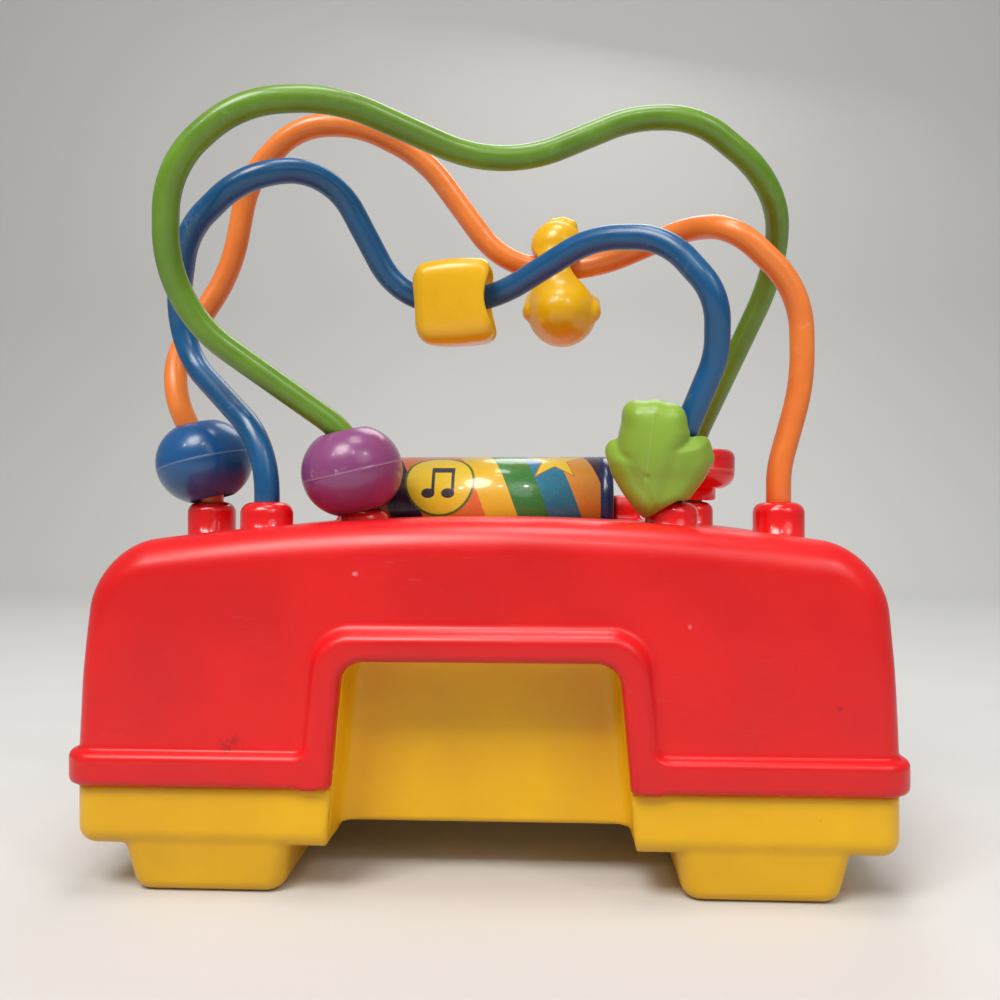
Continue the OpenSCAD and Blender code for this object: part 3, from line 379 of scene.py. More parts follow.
# Fields of the beads, in the beads' own axes with the wire along z
def cube_bead(p):
    """A cube with pillow sides, a bore and dished ends. The right dish is deep and notches its rim."""
    across = (np.abs(p[0]) ** CUBE_POWER + np.abs(p[1]) ** CUBE_POWER) ** (1 / CUBE_POWER)
    across = across + CUBE_BULGE * p[2] ** 2
    right = p[2] - CUBE_HALF + CUBE_DRAFT * (CUBE_HALF - p[1])
    shape = corner(across - CUBE_HALF, np.maximum(right, -p[2] - CUBE_HALF), CUBE_R)
    left_dish = ball(p, (0, 0, CUBE_LEFT_DISH - CUBE_HALF - CUBE_LEFT_DISH_R), CUBE_LEFT_DISH_R)
    right_dish = ball(p, (0, 0, CUBE_HALF + CUBE_RIGHT_DISH_R - CUBE_RIGHT_DISH), CUBE_RIGHT_DISH_R)
    shape = cut(shape, left_dish, CUBE_DISH_EDGE_R)
    shape = cut(shape, right_dish, CUBE_DISH_EDGE_R)
    return cut(shape, upright(p, 0, 0, CUBE_BORE_R), BORE_EDGE_R)


# Duck: places as (x towards the beak, y up, z along the wire), the wings' counted from the body's
DUCK_HEAD = 1.0, 9.8, 0.0
DUCK_HEAD_R = 10.5
DUCK_TUFT = [(-1.2, 0.7), (2.0, 1.3), (5.0, 0.2)]
DUCK_TUFT_X = -0.5
DUCK_TUFT_R = 2.8
DUCK_TUFT_FILLET_R = 1.2
DUCK_BEAK_FROM, DUCK_BEAK_TO = 9.0, 14.5
DUCK_BEAK_Y = DUCK_HEAD[1] - 1.0
DUCK_BEAK_R = 3.2
DUCK_BEAK_FLAT = 1.6
DUCK_BEAK_FILLET_R = 1.5
DUCK_BODY = np.array((-2.0, -16.2, 2.8))
DUCK_BODY_R = 13.5
DUCK_CHEST = DUCK_BODY + (9.0, 1.2, 0.0)
DUCK_CHEST_R = 11.5
DUCK_CHEST_FILLET_R = 6.0
DUCK_TAIL = DUCK_BODY + (-6.6, -1.4, -0.6)
DUCK_TAIL_R = 10.3
DUCK_TAIL_FILLET_R = 1.6
DUCK_WING_LOW = -2.0, -0.4, 10.8
DUCK_WING_HIGH = 4.0, 5.4, 9.9
DUCK_WING_R = 4.6
DUCK_WING_FILLET_R = 0.8
DUCK_NECK_R = BEAD_BORE_R + 1.6
DUCK_NECK_ALONG = 0.5
DUCK_NECK_SQUEEZE = 0.9
DUCK_NECK_TOP = 7.0
DUCK_NECK_TOP_R = 4.0
DUCK_NECK_FILLET_R = 4.5
DUCK_HEAD_FILLET_R = 3.5
DUCK_BORE_FLARE = 0.3
DUCK_FLARE_FROM = 7.0
DUCK_BEND, DUCK_PAST_BEND = 8, 4.9
DUCK_FACING = 0, 0, 1
DUCK_SHIFT = -1.5, -1.5
DUCK_REACH = 24, 34, 22


def duck_bead(p):
    """A duck with a tuft, a flat beak, wings and a tail. Its bore flares at both ends."""
    head = ball(p, DUCK_HEAD, DUCK_HEAD_R)
    for z, rise in DUCK_TUFT:
        top = DUCK_HEAD[1] + DUCK_HEAD_R + rise
        head = join(head, ball(p, (DUCK_TUFT_X, top - DUCK_TUFT_R, z), DUCK_TUFT_R), DUCK_TUFT_FILLET_R)
    flat = column((1, DUCK_BEAK_FLAT, 1))
    beak_y = DUCK_BEAK_FLAT * DUCK_BEAK_Y
    beak = capsule(p * flat, (DUCK_BEAK_FROM, beak_y, 0), (DUCK_BEAK_TO, beak_y, 0), DUCK_BEAK_R)
    head = join(head, beak / DUCK_BEAK_FLAT, DUCK_BEAK_FILLET_R)
    body = ball(p, DUCK_BODY, DUCK_BODY_R)
    body = join(body, ball(p, DUCK_CHEST, DUCK_CHEST_R), DUCK_CHEST_FILLET_R)
    body = join(body, ball(p, DUCK_TAIL, DUCK_TAIL_R), DUCK_TAIL_FILLET_R)
    for side in (-1, 1):
        low = DUCK_BODY + np.array(DUCK_WING_LOW) * (1, 1, side)
        high = DUCK_BODY + np.array(DUCK_WING_HIGH) * (1, 1, side)
        body = join(body, capsule(p, low, high, DUCK_WING_R), DUCK_WING_FILLET_R)
    tall = np.maximum(DUCK_BODY[1] - p[1], p[1] - DUCK_NECK_TOP)
    neck = np.hypot(DUCK_NECK_SQUEEZE * p[0], p[2] - DUCK_NECK_ALONG) - DUCK_NECK_R
    neck = corner(neck, tall, DUCK_NECK_TOP_R)
    shape = join(join(body, neck, DUCK_NECK_FILLET_R), head, DUCK_HEAD_FILLET_R)
    flare = DUCK_BORE_FLARE * np.maximum(np.abs(p[2]) - DUCK_FLARE_FROM, 0)
    return cut(shape, upright(p, 0, 0, BEAD_BORE_R) - flare, BORE_EDGE_R)


# Frog, seen from the front: corners in millimetres to the viewer's right and up, grown by a round edge
FROG_LEAF = [(-16.0, 5.0), (-14.6, 1.5), (-13.0, -3.6), (-9.9, -8.6), (-5.8, -14.4), (-3.3, -17.0),
             (-0.6, -15.4), (6.9, -11.5), (12.2, -4.6), (15.1, 0.7), (13.6, 5.0), (11.0, 5.8), (-11.5, 4.9)]
FROG_LEAF_R = 3.5
FROG_LEAF_EDGE_R = 5.8
FROG_LEAF_SUNK = 1.0
FROG_HEAD = [(-8.3, 15.4), (4.0, 14.8), (6.2, 9.6), (2.6, 3.0), (-1.5, -13.0), (-6.5, -6.0), (-10.6, 3.5),
             (-9.8, 9.0)]
FROG_HEAD_R = 4.0
FROG_HEAD_EDGE_R = 7.0
FROG_HEAD_FILLET_R = 1.0
FROG_LOBES = [(-8.0, 19.9), (-2.0, 20.5), (4.4, 19.3)]
FROG_LOBE_R = 4.3
FROG_LOBE_FILLET_R = 2.2
FROG_HALF_T = 12.0
FROG_DOME = 0.015
FROG_DOME_LOW, FROG_DOME_HIGH = 1.1, 0.6
FROG_ARM_BACK = 5.5
FROG_ARM_FROM, FROG_ARM_RUN = -1.0, 9.0
FROG_FACET = (0.06, 0.687, 0.724)
FROG_FACET_AT = 10.3
FROG_FACET_EDGE_R = 0.4
FROG_TIP_FORWARD = 3.5
FROG_TIP_FROM, FROG_TIP_RUN = -4.0, 14.0
FROG_LEAN = math.radians(13)
FROG_SIDE = 5.5
FROG_FRONT = 2.0
FROG_GATE = (-5.1, -5.1)
FROG_GATE_OUT = 0.2
FROG_GATE_R = 1.5
FROG_GATE_EDGE_R = 0.5
FROG_SEAM_LEAN = 0.087
FROG_SEAM_AT = -4.6
FROG_UP = 15.0
FROG_SHIFT = 0, 0.5
FROG_REACH = 30, 18, 28
FROG_SOCKET_GAP = 1.2
FROG_SOCKET_OVER = 0.6
FROG_SOCKET_EDGE_R = 0.6


def frog_bead(p):
    """Own axes before the lean: z up the body, y towards the viewer, x to the viewer's left."""
    c, s = math.cos(FROG_LEAN), math.sin(FROG_LEAN)
    u = FROG_SIDE + s * p[2] - c * p[0]
    v = s * p[0] + c * p[2]
    forward = FROG_TIP_FORWARD * smooth((FROG_TIP_FROM - v) / FROG_TIP_RUN)
    deep = np.abs(p[1] - FROG_FRONT - forward)
    dome = FROG_DOME * (u * u + np.where(v < 0, FROG_DOME_LOW, FROG_DOME_HIGH) * v * v)
    arm_back = np.where(u < 0, FROG_ARM_BACK * smooth((v - FROG_ARM_FROM) / FROG_ARM_RUN), 0)
    leaf_face = deep - FROG_HALF_T + FROG_LEAF_SUNK + dome + arm_back
    leaf = corner(outline(u, v, FROG_LEAF, FROG_LEAF_R), leaf_face, FROG_LEAF_EDGE_R)
    facet = (column(FROG_FACET) * np.stack([u, v, deep])).sum(0) - FROG_FACET_AT
    leaf = corner(leaf, np.where(u > 0, facet, -FROG_HALF_T), FROG_FACET_EDGE_R)
    head = outline(u, v, FROG_HEAD, FROG_HEAD_R)
    for at, top in FROG_LOBES:
        lobe = np.hypot(u - at, v - top + FROG_LOBE_R) - FROG_LOBE_R
        head = join(head, lobe, FROG_LOBE_FILLET_R)
    head = corner(head, deep - FROG_HALF_T + dome, FROG_HEAD_EDGE_R)
    shape = join(leaf, head, FROG_HEAD_FILLET_R)
    gate_at = FROG_GATE[0], FROG_HALF_T + FROG_GATE_OUT, FROG_GATE[1]
    shape = cut(shape, ball(np.stack([u, deep, v]), gate_at, FROG_GATE_R), FROG_GATE_EDGE_R)
    return cut(shape, upright(p, 0, 0, BEAD_BORE_R), BORE_EDGE_R)


def frog_on_socket(p, axes):
    """The frog with its foot hollowed out round the socket that it hangs over."""
    world = axes[:3, :3] @ p + axes[:3, 3:]
    room = upright(world, *BLUE_ENDS[1], SOCKET_R + FROG_SOCKET_GAP)
    room = np.maximum(room, world[2] - SOCKET_Z - FROG_SOCKET_OVER)
    return cut(frog_bead(p), room, FROG_SOCKET_EDGE_R)


# Meshes
def gradient(field, p, step=0.02):
    sides = [column(np.eye(3)[k] * step) for k in range(3)]
    return np.stack([(field(p + d) - field(p - d)) / (2 * step) for d in sides])


def onto_surface(field, p, cell, rounds=4):
    """Moves points along the field's slope until they lie on its surface."""
    for _ in range(rounds):
        slope = gradient(field, p)
        step = field(p) / np.maximum((slope * slope).sum(0), 0.05)
        p = p - np.clip(step, -cell, cell) * slope
    return p


def relaxed(p, quads, share=0.5):
    """Each point moved towards the middle of its neighbours."""
    total = np.zeros_like(p)
    count = np.zeros(p.shape[1])
    for a in range(4):
        for b in ((a + 1) % 4, (a - 1) % 4):
            np.add.at(count, quads[:, a], 1)
            for k in range(3):
                np.add.at(total[k], quads[:, a], p[k, quads[:, b]])
    return p + share * (total / np.maximum(count, 1) - p)


def surface_of(field, lo, hi, cell):
    """Points and quads of a field's surface inside a box, one point in each grid cell that it crosses."""
    lines = [np.arange(a - 2 * cell, b + 2 * cell, cell) for a, b in zip(lo, hi)]
    shape = [len(line) for line in lines]
    grid = np.stack(np.meshgrid(*lines, indexing="ij")).reshape(3, -1)
    value = np.concatenate([field(part) for part in np.array_split(grid, 8, axis=1)]).reshape(shape)
    inside = value < 0
    corners = [inside[i:shape[0] - 1 + i, j:shape[1] - 1 + j, k:shape[2] - 1 + k]
               for i in (0, 1) for j in (0, 1) for k in (0, 1)]
    full = sum(c.astype(np.int8) for c in corners)
    crossed = (full > 0) & (full < 8)
    cells = np.argwhere(crossed)
    number = np.full(crossed.shape, -1)
    number[crossed] = np.arange(len(cells))

    total = np.zeros((len(cells), 3))
    hits = np.zeros(len(cells))
    for axis in range(3):
        others = [(axis + 1) % 3, (axis + 2) % 3]
        for u in (0, 1):
            for v in (0, 1):
                near = np.zeros(3, int)
                near[others] = u, v
                far = near + np.eye(3, dtype=int)[axis]
                a = value[tuple((cells + near).T)]
                b = value[tuple((cells + far).T)]
                hit = (a < 0) != (b < 0)
                share = np.where(hit, a / np.where(hit, a - b, 1), 0)
                place = np.tile(near.astype(float), (len(cells), 1))
                place[:, axis] = share
                total += place * hit[:, None]
                hits += hit
    origin = np.array([line[0] for line in lines])
    points = (origin + (cells + total / hits[:, None]) * cell).T

    quads = []
    for axis in range(3):
        e1 = np.eye(3, dtype=int)[(axis + 1) % 3]
        e2 = np.eye(3, dtype=int)[(axis + 2) % 3]
        low = np.delete(inside, -1, axis)
        high = np.delete(inside, 0, axis)
        edges = np.argwhere(low != high)
        ring = np.stack([number[tuple(e.T)] for e in (edges, edges - e1, edges - e1 - e2, edges - e2)], 1)
        outward = low[tuple(edges.T)]
        quads.append(np.where(outward[:, None], ring, ring[:, ::-1]))
    quads = np.concatenate(quads)
    points = onto_surface(field, points, cell)
    for _ in range(2):
        points = onto_surface(field, relaxed(points, quads), cell, 2)
    return points.T, quads


def make_piece(name, points, faces, material, body, replaces, place=None):
    """A smooth mesh in the row frame that stands for solids and rides on a body."""
    mesh = bpy.data.meshes.new(name)
    mesh.from_pydata((np.asarray(points) * MM).tolist(), [], [tuple(face) for face in faces])
    mesh.shade_smooth()
    mesh.materials.append(material)
    piece = bpy.data.objects.new(name, mesh)
    bpy.context.scene.collection.objects.link(piece)
    if place is not None:
        matrix = Matrix(place.tolist())
        matrix.translation = matrix.translation * MM
        piece.matrix_world = matrix
    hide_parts(*replaces)
    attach(piece, body)


def arc(r, z, radius, start, end, steps):
    """Points of a profile on an arc, with its angles in degrees from the outward direction."""
    turns = np.radians(np.linspace(start, end, steps + 1))
    return [(r + radius * math.cos(a), z + radius * math.sin(a)) for a in turns]


def revolved(profile, sides):
    """A ring of the profile's points (radius, height), which run round the section against the clock."""
    profile = np.array(profile)
    turns = np.linspace(0, 2 * math.pi, sides, endpoint=False)
    points = np.array([(r * math.cos(a), r * math.sin(a), z) for a in turns for r, z in profile])
    n = len(profile)
    faces = [(i * n + k, (i + 1) % sides * n + k, (i + 1) % sides * n + (k + 1) % n, i * n + (k + 1) % n)
             for i in range(sides) for k in range(n)]
    return points, faces


def unit(v):
    return v / np.linalg.norm(v)


class Wire:
    """The centre line of a bent wire, with distances counted from the top of its left socket."""

    def __init__(self, ends, bends, arc_step=math.radians(3)):
        low = SOCKET_Z - WIRE_TAIL
        corners = [(*ends[0], low)] + [(x, y, SOCKET_Z + h) for x, y, h, _ in bends] + [(*ends[1], low)]
        corners = np.array(corners, float)
        points = [corners[0]]
        directions = [unit(corners[1] - corners[0])]
        ends_of_bends = []
        for i, (_, _, _, r) in enumerate(bends, 1):
            u = unit(corners[i] - corners[i - 1])
            v = unit(corners[i + 1] - corners[i])
            turn = math.acos(np.clip(u @ v, -1, 1))
            inward = unit(v - u * (u @ v))
            centre = corners[i] - u * r * math.tan(turn / 2) + inward * r
            for a in np.linspace(0, turn, math.ceil(turn / arc_step) + 1):
                points.append(centre + r * (u * math.sin(a) - inward * math.cos(a)))
                directions.append(u * math.cos(a) + inward * math.sin(a))
            ends_of_bends.append(len(points) - 1)
        points.append(corners[-1])
        directions.append(directions[-1])
        self.points = np.array(points)
        self.directions = np.array(directions)
        steps = np.linalg.norm(np.diff(self.points, axis=0), axis=1)
        self.distance = np.concatenate([[0], np.cumsum(steps)]) - WIRE_TAIL
        self.length = self.distance[-1] - WIRE_TAIL
        self.bend_ends = self.distance[ends_of_bends]

    def at(self, s, values):
        return np.array([np.interp(s, self.distance, values[:, k]) for k in range(3)])

    def bead_axes(self, s, facing=(0, -1, 0), way=1, shift=(0, 0), axis_s=None):
        """Own axes of a bead on the wire, as the solids place it, as a 4 x 4 matrix in millimetres."""
        z = way * unit(self.at(s if axis_s is None else axis_s, self.directions))
        facing = np.array(facing, float)
        y = unit(facing - z * (facing @ z))
        x = np.cross(y, z)
        axes = np.eye(4)
        axes[:3, :3] = np.stack([x, y, z], 1)
        axes[:3, 3] = self.at(s, self.points) + x * shift[0] + y * shift[1]
        return axes

    def tube(self, radius, sides=28):
        """A round tube along the line, with its sections carried along without twist."""
        across = np.array([1.0, 0, 0])
        rings = []
        turns = np.linspace(0, 2 * math.pi, sides, endpoint=False)
        for point, along in zip(self.points, self.directions):
            across = unit(across - along * (across @ along))
            up = np.cross(along, across)
            rings += [point + radius * (across * math.cos(a) + up * math.sin(a)) for a in turns]
        last = len(self.points) - 1
        faces = [(i * sides + k, i * sides + (k + 1) % sides, (i + 1) * sides + (k + 1) % sides,
                  (i + 1) * sides + k) for i in range(last) for k in range(sides)]
        points = np.array(rings + [self.points[0], self.points[-1]])
        start, end = len(rings), len(rings) + 1
        faces += [(start, (k + 1) % sides, k) for k in range(sides)]
        faces += [(end, last * sides + k, last * sides + (k + 1) % sides) for k in range(sides)]
        return points, faces


# Materials
def srgb(r, g, b):
    """A colour given as 0 to 255 screen values."""
    values = [c / 255 for c in (r, g, b)]
    return [c / 12.92 if c <= 0.04045 else ((c + 0.055) / 1.055) ** 2.4 for c in values] + [1.0]


class Graph:
    """A material's nodes, ending in one plastic or metal shader."""

    def __init__(self, name, **constants):
        self.material = bpy.data.materials.new(name)
        self.material.use_nodes = True
        self.tree = self.material.node_tree
        self.tree.nodes.clear()
        self.shader = self.add("ShaderNodeBsdfPrincipled", constants)
        output = self.add("ShaderNodeOutputMaterial")
        self.tree.links.new(self.shader.outputs[0], output.inputs["Surface"])
        self.where = self.add("ShaderNodeTexCoord").outputs["Object"]

    def add(self, kind, values=None, **settings):
        node = self.tree.nodes.new(kind)
        for key, value in settings.items():
            setattr(node, key, value)
        for key, value in (values or {}).items():
            self.put(node.inputs[key], value)
        return node

    def put(self, socket, value):
        if isinstance(value, bpy.types.NodeSocket):
            self.tree.links.new(value, socket)
        else:
            socket.default_value = value

    def math(self, operation, *values):
        node = self.add("ShaderNodeMath", operation=operation)
        for socket, value in zip(node.inputs, values):
            self.put(socket, value)
        return node.outputs[0]

    def times(self, a, b):
        return self.math("MULTIPLY", a, b)

    def noise(self, scale, detail=2.0, stretch=(1, 1, 1), distortion=0.0):
        place = self.add("ShaderNodeMapping", {"Vector": self.where, "Scale": stretch}).outputs[0]
        values = {"Vector": place, "Scale": scale, "Detail": detail, "Distortion": distortion}
        return self.add("ShaderNodeTexNoise", values).outputs[0]

    def ramp(self, value, low, high, out_low=0.0, out_high=1.0):
        values = {"Value": value, "From Min": low, "From Max": high, "To Min": out_low, "To Max": out_high}
        return self.add("ShaderNodeMapRange", values).outputs[0]

    def mix(self, share, a, b):
        node = self.add("ShaderNodeMix", data_type="RGBA")
        for socket, value in zip((node.inputs[0], node.inputs[6], node.inputs[7]), (share, a, b)):
            self.put(socket, value)
        return node.outputs[2]

    def near(self, at, radius):
        """1 at a place in millimetres, fading to 0 at the radius."""
        place = [c * MM for c in at]
        node = self.add("ShaderNodeVectorMath", {0: self.where, 1: place}, operation="DISTANCE")
        return self.ramp(node.outputs["Value"], radius * MM, 0.0)

    def plane_line(self, normal, offset, half):
        """1 on a plane at an offset along its normal, fading to 0 at half a line's width, in millimetres."""
        node = self.add("ShaderNodeVectorMath", {0: self.where, 1: normal}, operation="DOT_PRODUCT")
        away = self.math("ABSOLUTE", self.math("SUBTRACT", node.outputs["Value"], offset * MM))
        return self.ramp(away, half * MM, 0.2 * half * MM)

    def specks(self, scale, size, share):
        """Small round spots, one in some of the cells of a random pattern."""
        cells = self.add("ShaderNodeTexVoronoi", {"Vector": self.where, "Scale": scale})
        parts = self.add("ShaderNodeSeparateColor", {0: cells.outputs["Color"]})
        chosen = self.math("GREATER_THAN", parts.outputs[0], 1 - share)
        spot = self.ramp(cells.outputs["Distance"], size, size * 0.5)
        return self.times(chosen, spot)

    def finish(self, colour, roughness, height=None, depth=0.0):
        self.put(self.shader.inputs["Base Color"], colour)
        self.put(self.shader.inputs["Roughness"], roughness)
        if height is not None:
            values = {"Height": height, "Distance": depth * MM, "Strength": 1.0}
            bump = self.add("ShaderNodeBump", values)
            self.put(self.shader.inputs["Normal"], bump.outputs[0])
        return self.material


def scaled(colour, factor):
    return [min(1.0, c * factor) for c in colour[:3]] + [1.0]


def toward_white(colour, share):
    return [c + (1 - c) * share for c in colour[:3]] + [1.0]


def plastic(name, colour, roughness, coat=0.0, grain=0.012, wear=0.5, marks=(), seam=None, seam_show=0.4,
            glow=0.0):
    """Moulded plastic: a slow drift of colour, fine grain, pale scuffs, dark specks and placed marks."""
    graph = Graph(name, **{"Coat Weight": coat, "Coat Roughness": 0.12, "Subsurface Weight": glow,
                           "Subsurface Radius": (1.0, 0.6, 0.5), "Subsurface Scale": 3.0 * MM})
    drift = graph.noise(26, 3.0)
    shade = graph.mix(graph.ramp(drift, 0.3, 0.7), scaled(colour, 0.9), scaled(colour, 1.08))
    scratch = graph.noise(170, 4.0, (1, 1, 9), 1.2)
    patch = graph.ramp(graph.noise(38, 2.0), 0.52, 0.68)
    scuff = graph.times(graph.ramp(scratch, 0.62, 0.74), patch)
    shade = graph.mix(graph.times(scuff, wear * 0.5), shade, toward_white(colour, 0.45))
    dark = graph.times(graph.specks(150, 0.07, 0.16), wear)
    shade = graph.mix(dark, shade, scaled(colour, 0.25))
    pale = graph.times(graph.specks(95, 0.05, 0.10), wear)
    shade = graph.mix(pale, shade, toward_white(colour, 0.6))
    for at, radius, mark_colour, strength in marks:
        ragged = graph.ramp(graph.noise(420, 4.0, distortion=0.8), 0.42, 0.6)
        spot = graph.times(graph.ramp(graph.near(at, radius), 0.0, 0.7), ragged)
        shade = graph.mix(graph.times(spot, strength), shade, mark_colour)
    if seam:
        line = graph.plane_line(*seam, 0.4)
        shade = graph.mix(graph.times(line, seam_show), shade, toward_white(colour, 0.3))
    rough = graph.math("ADD", graph.ramp(drift, 0.3, 0.7, roughness - 0.05, roughness + 0.05),
                       graph.times(scuff, 0.18))
    fine = graph.noise(1500, 2.0)
    return graph.finish(shade, rough, fine, grain)


def coated_wire(name, colour):
    """Dipped coating: lengthwise streaks, rubbed pale patches and a soft gloss."""
    graph = Graph(name, **{"Coat Weight": 0.25, "Coat Roughness": 0.16})
    drift = graph.noise(60, 3.0)
    shade = graph.mix(graph.ramp(drift, 0.35, 0.65), scaled(colour, 0.88), scaled(colour, 1.1))
    rub = graph.times(graph.ramp(graph.noise(240, 5.0, distortion=1.0), 0.6, 0.72),
                      graph.ramp(graph.noise(30, 1.0), 0.5, 0.62))
    shade = graph.mix(graph.times(rub, 0.35), shade, toward_white(colour, 0.3))
    shade = graph.mix(graph.times(graph.specks(170, 0.08, 0.1), 0.6), shade, scaled(colour, 0.3))
    rough = graph.ramp(drift, 0.3, 0.7, 0.28, 0.4)
    lumps = graph.math("ADD", graph.noise(170, 2.0), graph.times(graph.noise(1300, 2.0), 0.25))
    return graph.finish(shade, rough, lumps, 0.05)


def metal(name, colour, roughness):
    graph = Graph(name, Metallic=1.0)
    streak = graph.noise(350, 3.0, (1, 1, 8))
    shade = graph.mix(streak, scaled(colour, 0.8), colour)
    return graph.finish(shade, graph.ramp(streak, 0.3, 0.7, roughness - 0.08, roughness + 0.1), streak, 0.01)


RED = srgb(232, 18, 22)
YELLOW = srgb(252, 190, 6)
GREEN = srgb(106, 150, 30)
BLUE = srgb(4, 86, 138)
ORANGE = srgb(255, 134, 52)
PURPLE = srgb(146, 74, 128)
BEAD_YELLOW = srgb(255, 192, 6)
BEAD_GREEN = srgb(144, 182, 58)
BEAD_BLUE = srgb(24, 90, 150)
NAVY = srgb(18, 40, 82)
STEEL = srgb(190, 192, 196)
BOARD = srgb(24, 92, 52)
BLACK = srgb(22, 22, 24)
SMUDGE = srgb(70, 20, 24)
PALE_SCUFF = srgb(236, 214, 226)

# Marks as (place, radius, colour, strength)
RED_MARKS = [((-80, -72, 49), 5.0, SMUDGE, 0.45), ((-40, -70, 104), 1.2, PALE_SCUFF, 0.5),
             ((66, -70, 88), 1.0, PALE_SCUFF, 0.5), ((112, -71, 63), 1.4, SMUDGE, 0.4)]
PURPLE_MARKS = [((10.4, 14.5, 2.1), 1.8, PALE_SCUFF, 0.6), ((2.1, 17.8, 0.7), 1.4, PALE_SCUFF, 0.6),
                ((-0.7, 17.7, 1.8), 1.2, PALE_SCUFF, 0.6)]

# Seams as (normal, offset) of the plane that they lie in
EQUATOR = (0, 0, 1), 0.0
FROG_SEAM = (-math.cos(FROG_LEAN) - FROG_SEAM_LEAN * math.sin(FROG_LEAN), 0,
             math.sin(FROG_LEAN) - FROG_SEAM_LEAN * math.cos(FROG_LEAN)), FROG_SEAM_AT - FROG_SIDE

red_plastic = plastic("red_moulded", RED, 0.34, 0.05, wear=0.16, marks=RED_MARKS)
socket_plastic = plastic("red_glossy", RED, 0.18, 0.4, 0.006, wear=0.2)
yellow_plastic = plastic("yellow_moulded", YELLOW, 0.38, 0.05, wear=0.3)
bead_red = plastic("bead_red", RED, 0.25, 0.3, 0.006, wear=0.2, seam=EQUATOR)
bead_blue = plastic("bead_blue", BEAD_BLUE, 0.28, 0.2, 0.008, wear=0.3, seam=EQUATOR, glow=0.05)
bead_purple = plastic("bead_purple", PURPLE, 0.28, 0.2, 0.008, wear=0.4, marks=PURPLE_MARKS, seam=EQUATOR,
                      glow=0.15)
bead_yellow = plastic("bead_yellow", BEAD_YELLOW, 0.3, 0.2, 0.006, wear=0.15, glow=0.1)
bead_green = plastic("bead_green", BEAD_GREEN, 0.4, 0.05, 0.03, wear=0.25, seam=FROG_SEAM, seam_show=0.15,
                     glow=0.05)
navy_plastic = plastic("navy_moulded", NAVY, 0.25, 0.3)
steel = metal("steel_bright", STEEL, 0.3)
board_green = plastic("board_lacquer", BOARD, 0.4, 0.2)
black_plastic = plastic("black_moulded", BLACK, 0.5)


# Label: places as (along the drum, round the drum from its top towards the front)
HALF_ROUND = math.pi * ROLLER_R
STRIPE_PITCH = 11.8
STRIPE_SLANT = 0.36
STRIPE_START = 214.4
DISCS = (-19.0, 20.0), (22.0, 20.0 - HALF_ROUND)
DISC_R = 13.2
DISC_RIM = 0.9
DISC_TALLNESS = 1.05
STARS = (24.0, 8.0), (-20.0, 8.0 - HALF_ROUND), (-2.0, -16.0), (6.0, 46.0)
STAR_R = 13.0
STAR_RIM = 1.0
# Note, with its places counted from the disc's middle
NOTE_HEADS_X = -4.2, 3.2
NOTE_HEAD_R = 2.5
NOTE_HEAD_FLATNESS = 0.75
NOTE_LOW, NOTE_HIGH = 5.0, -6.0
NOTE_STEM_FROM, NOTE_STEM_TO = 1.2, 2.4
NOTE_BEAM = -3.0, 5.6, -6.4, -3.8
PRINT_EDGE = 0.12


def stripes(graph, slant):
    """Stripes of like width in a repeating order of colours."""
    flame = srgb(226, 112, 50)
    colours = [srgb(62, 30, 66), flame, flame, srgb(232, 190, 40), srgb(52, 128, 52), srgb(44, 128, 158),
               srgb(236, 158, 58)]
    start = graph.math("ADD", slant, STRIPE_START)
    share = graph.math("FRACT", graph.math("DIVIDE", start, STRIPE_PITCH * len(colours)))
    node = graph.add("ShaderNodeValToRGB", {0: share})
    node.color_ramp.interpolation = "CONSTANT"
    while len(node.color_ramp.elements) < len(colours):
        node.color_ramp.elements.new(0.5)
    for k, colour in enumerate(colours):
        node.color_ramp.elements[k].position = k / len(colours)
        node.color_ramp.elements[k].color = colour
    return node.outputs[0]


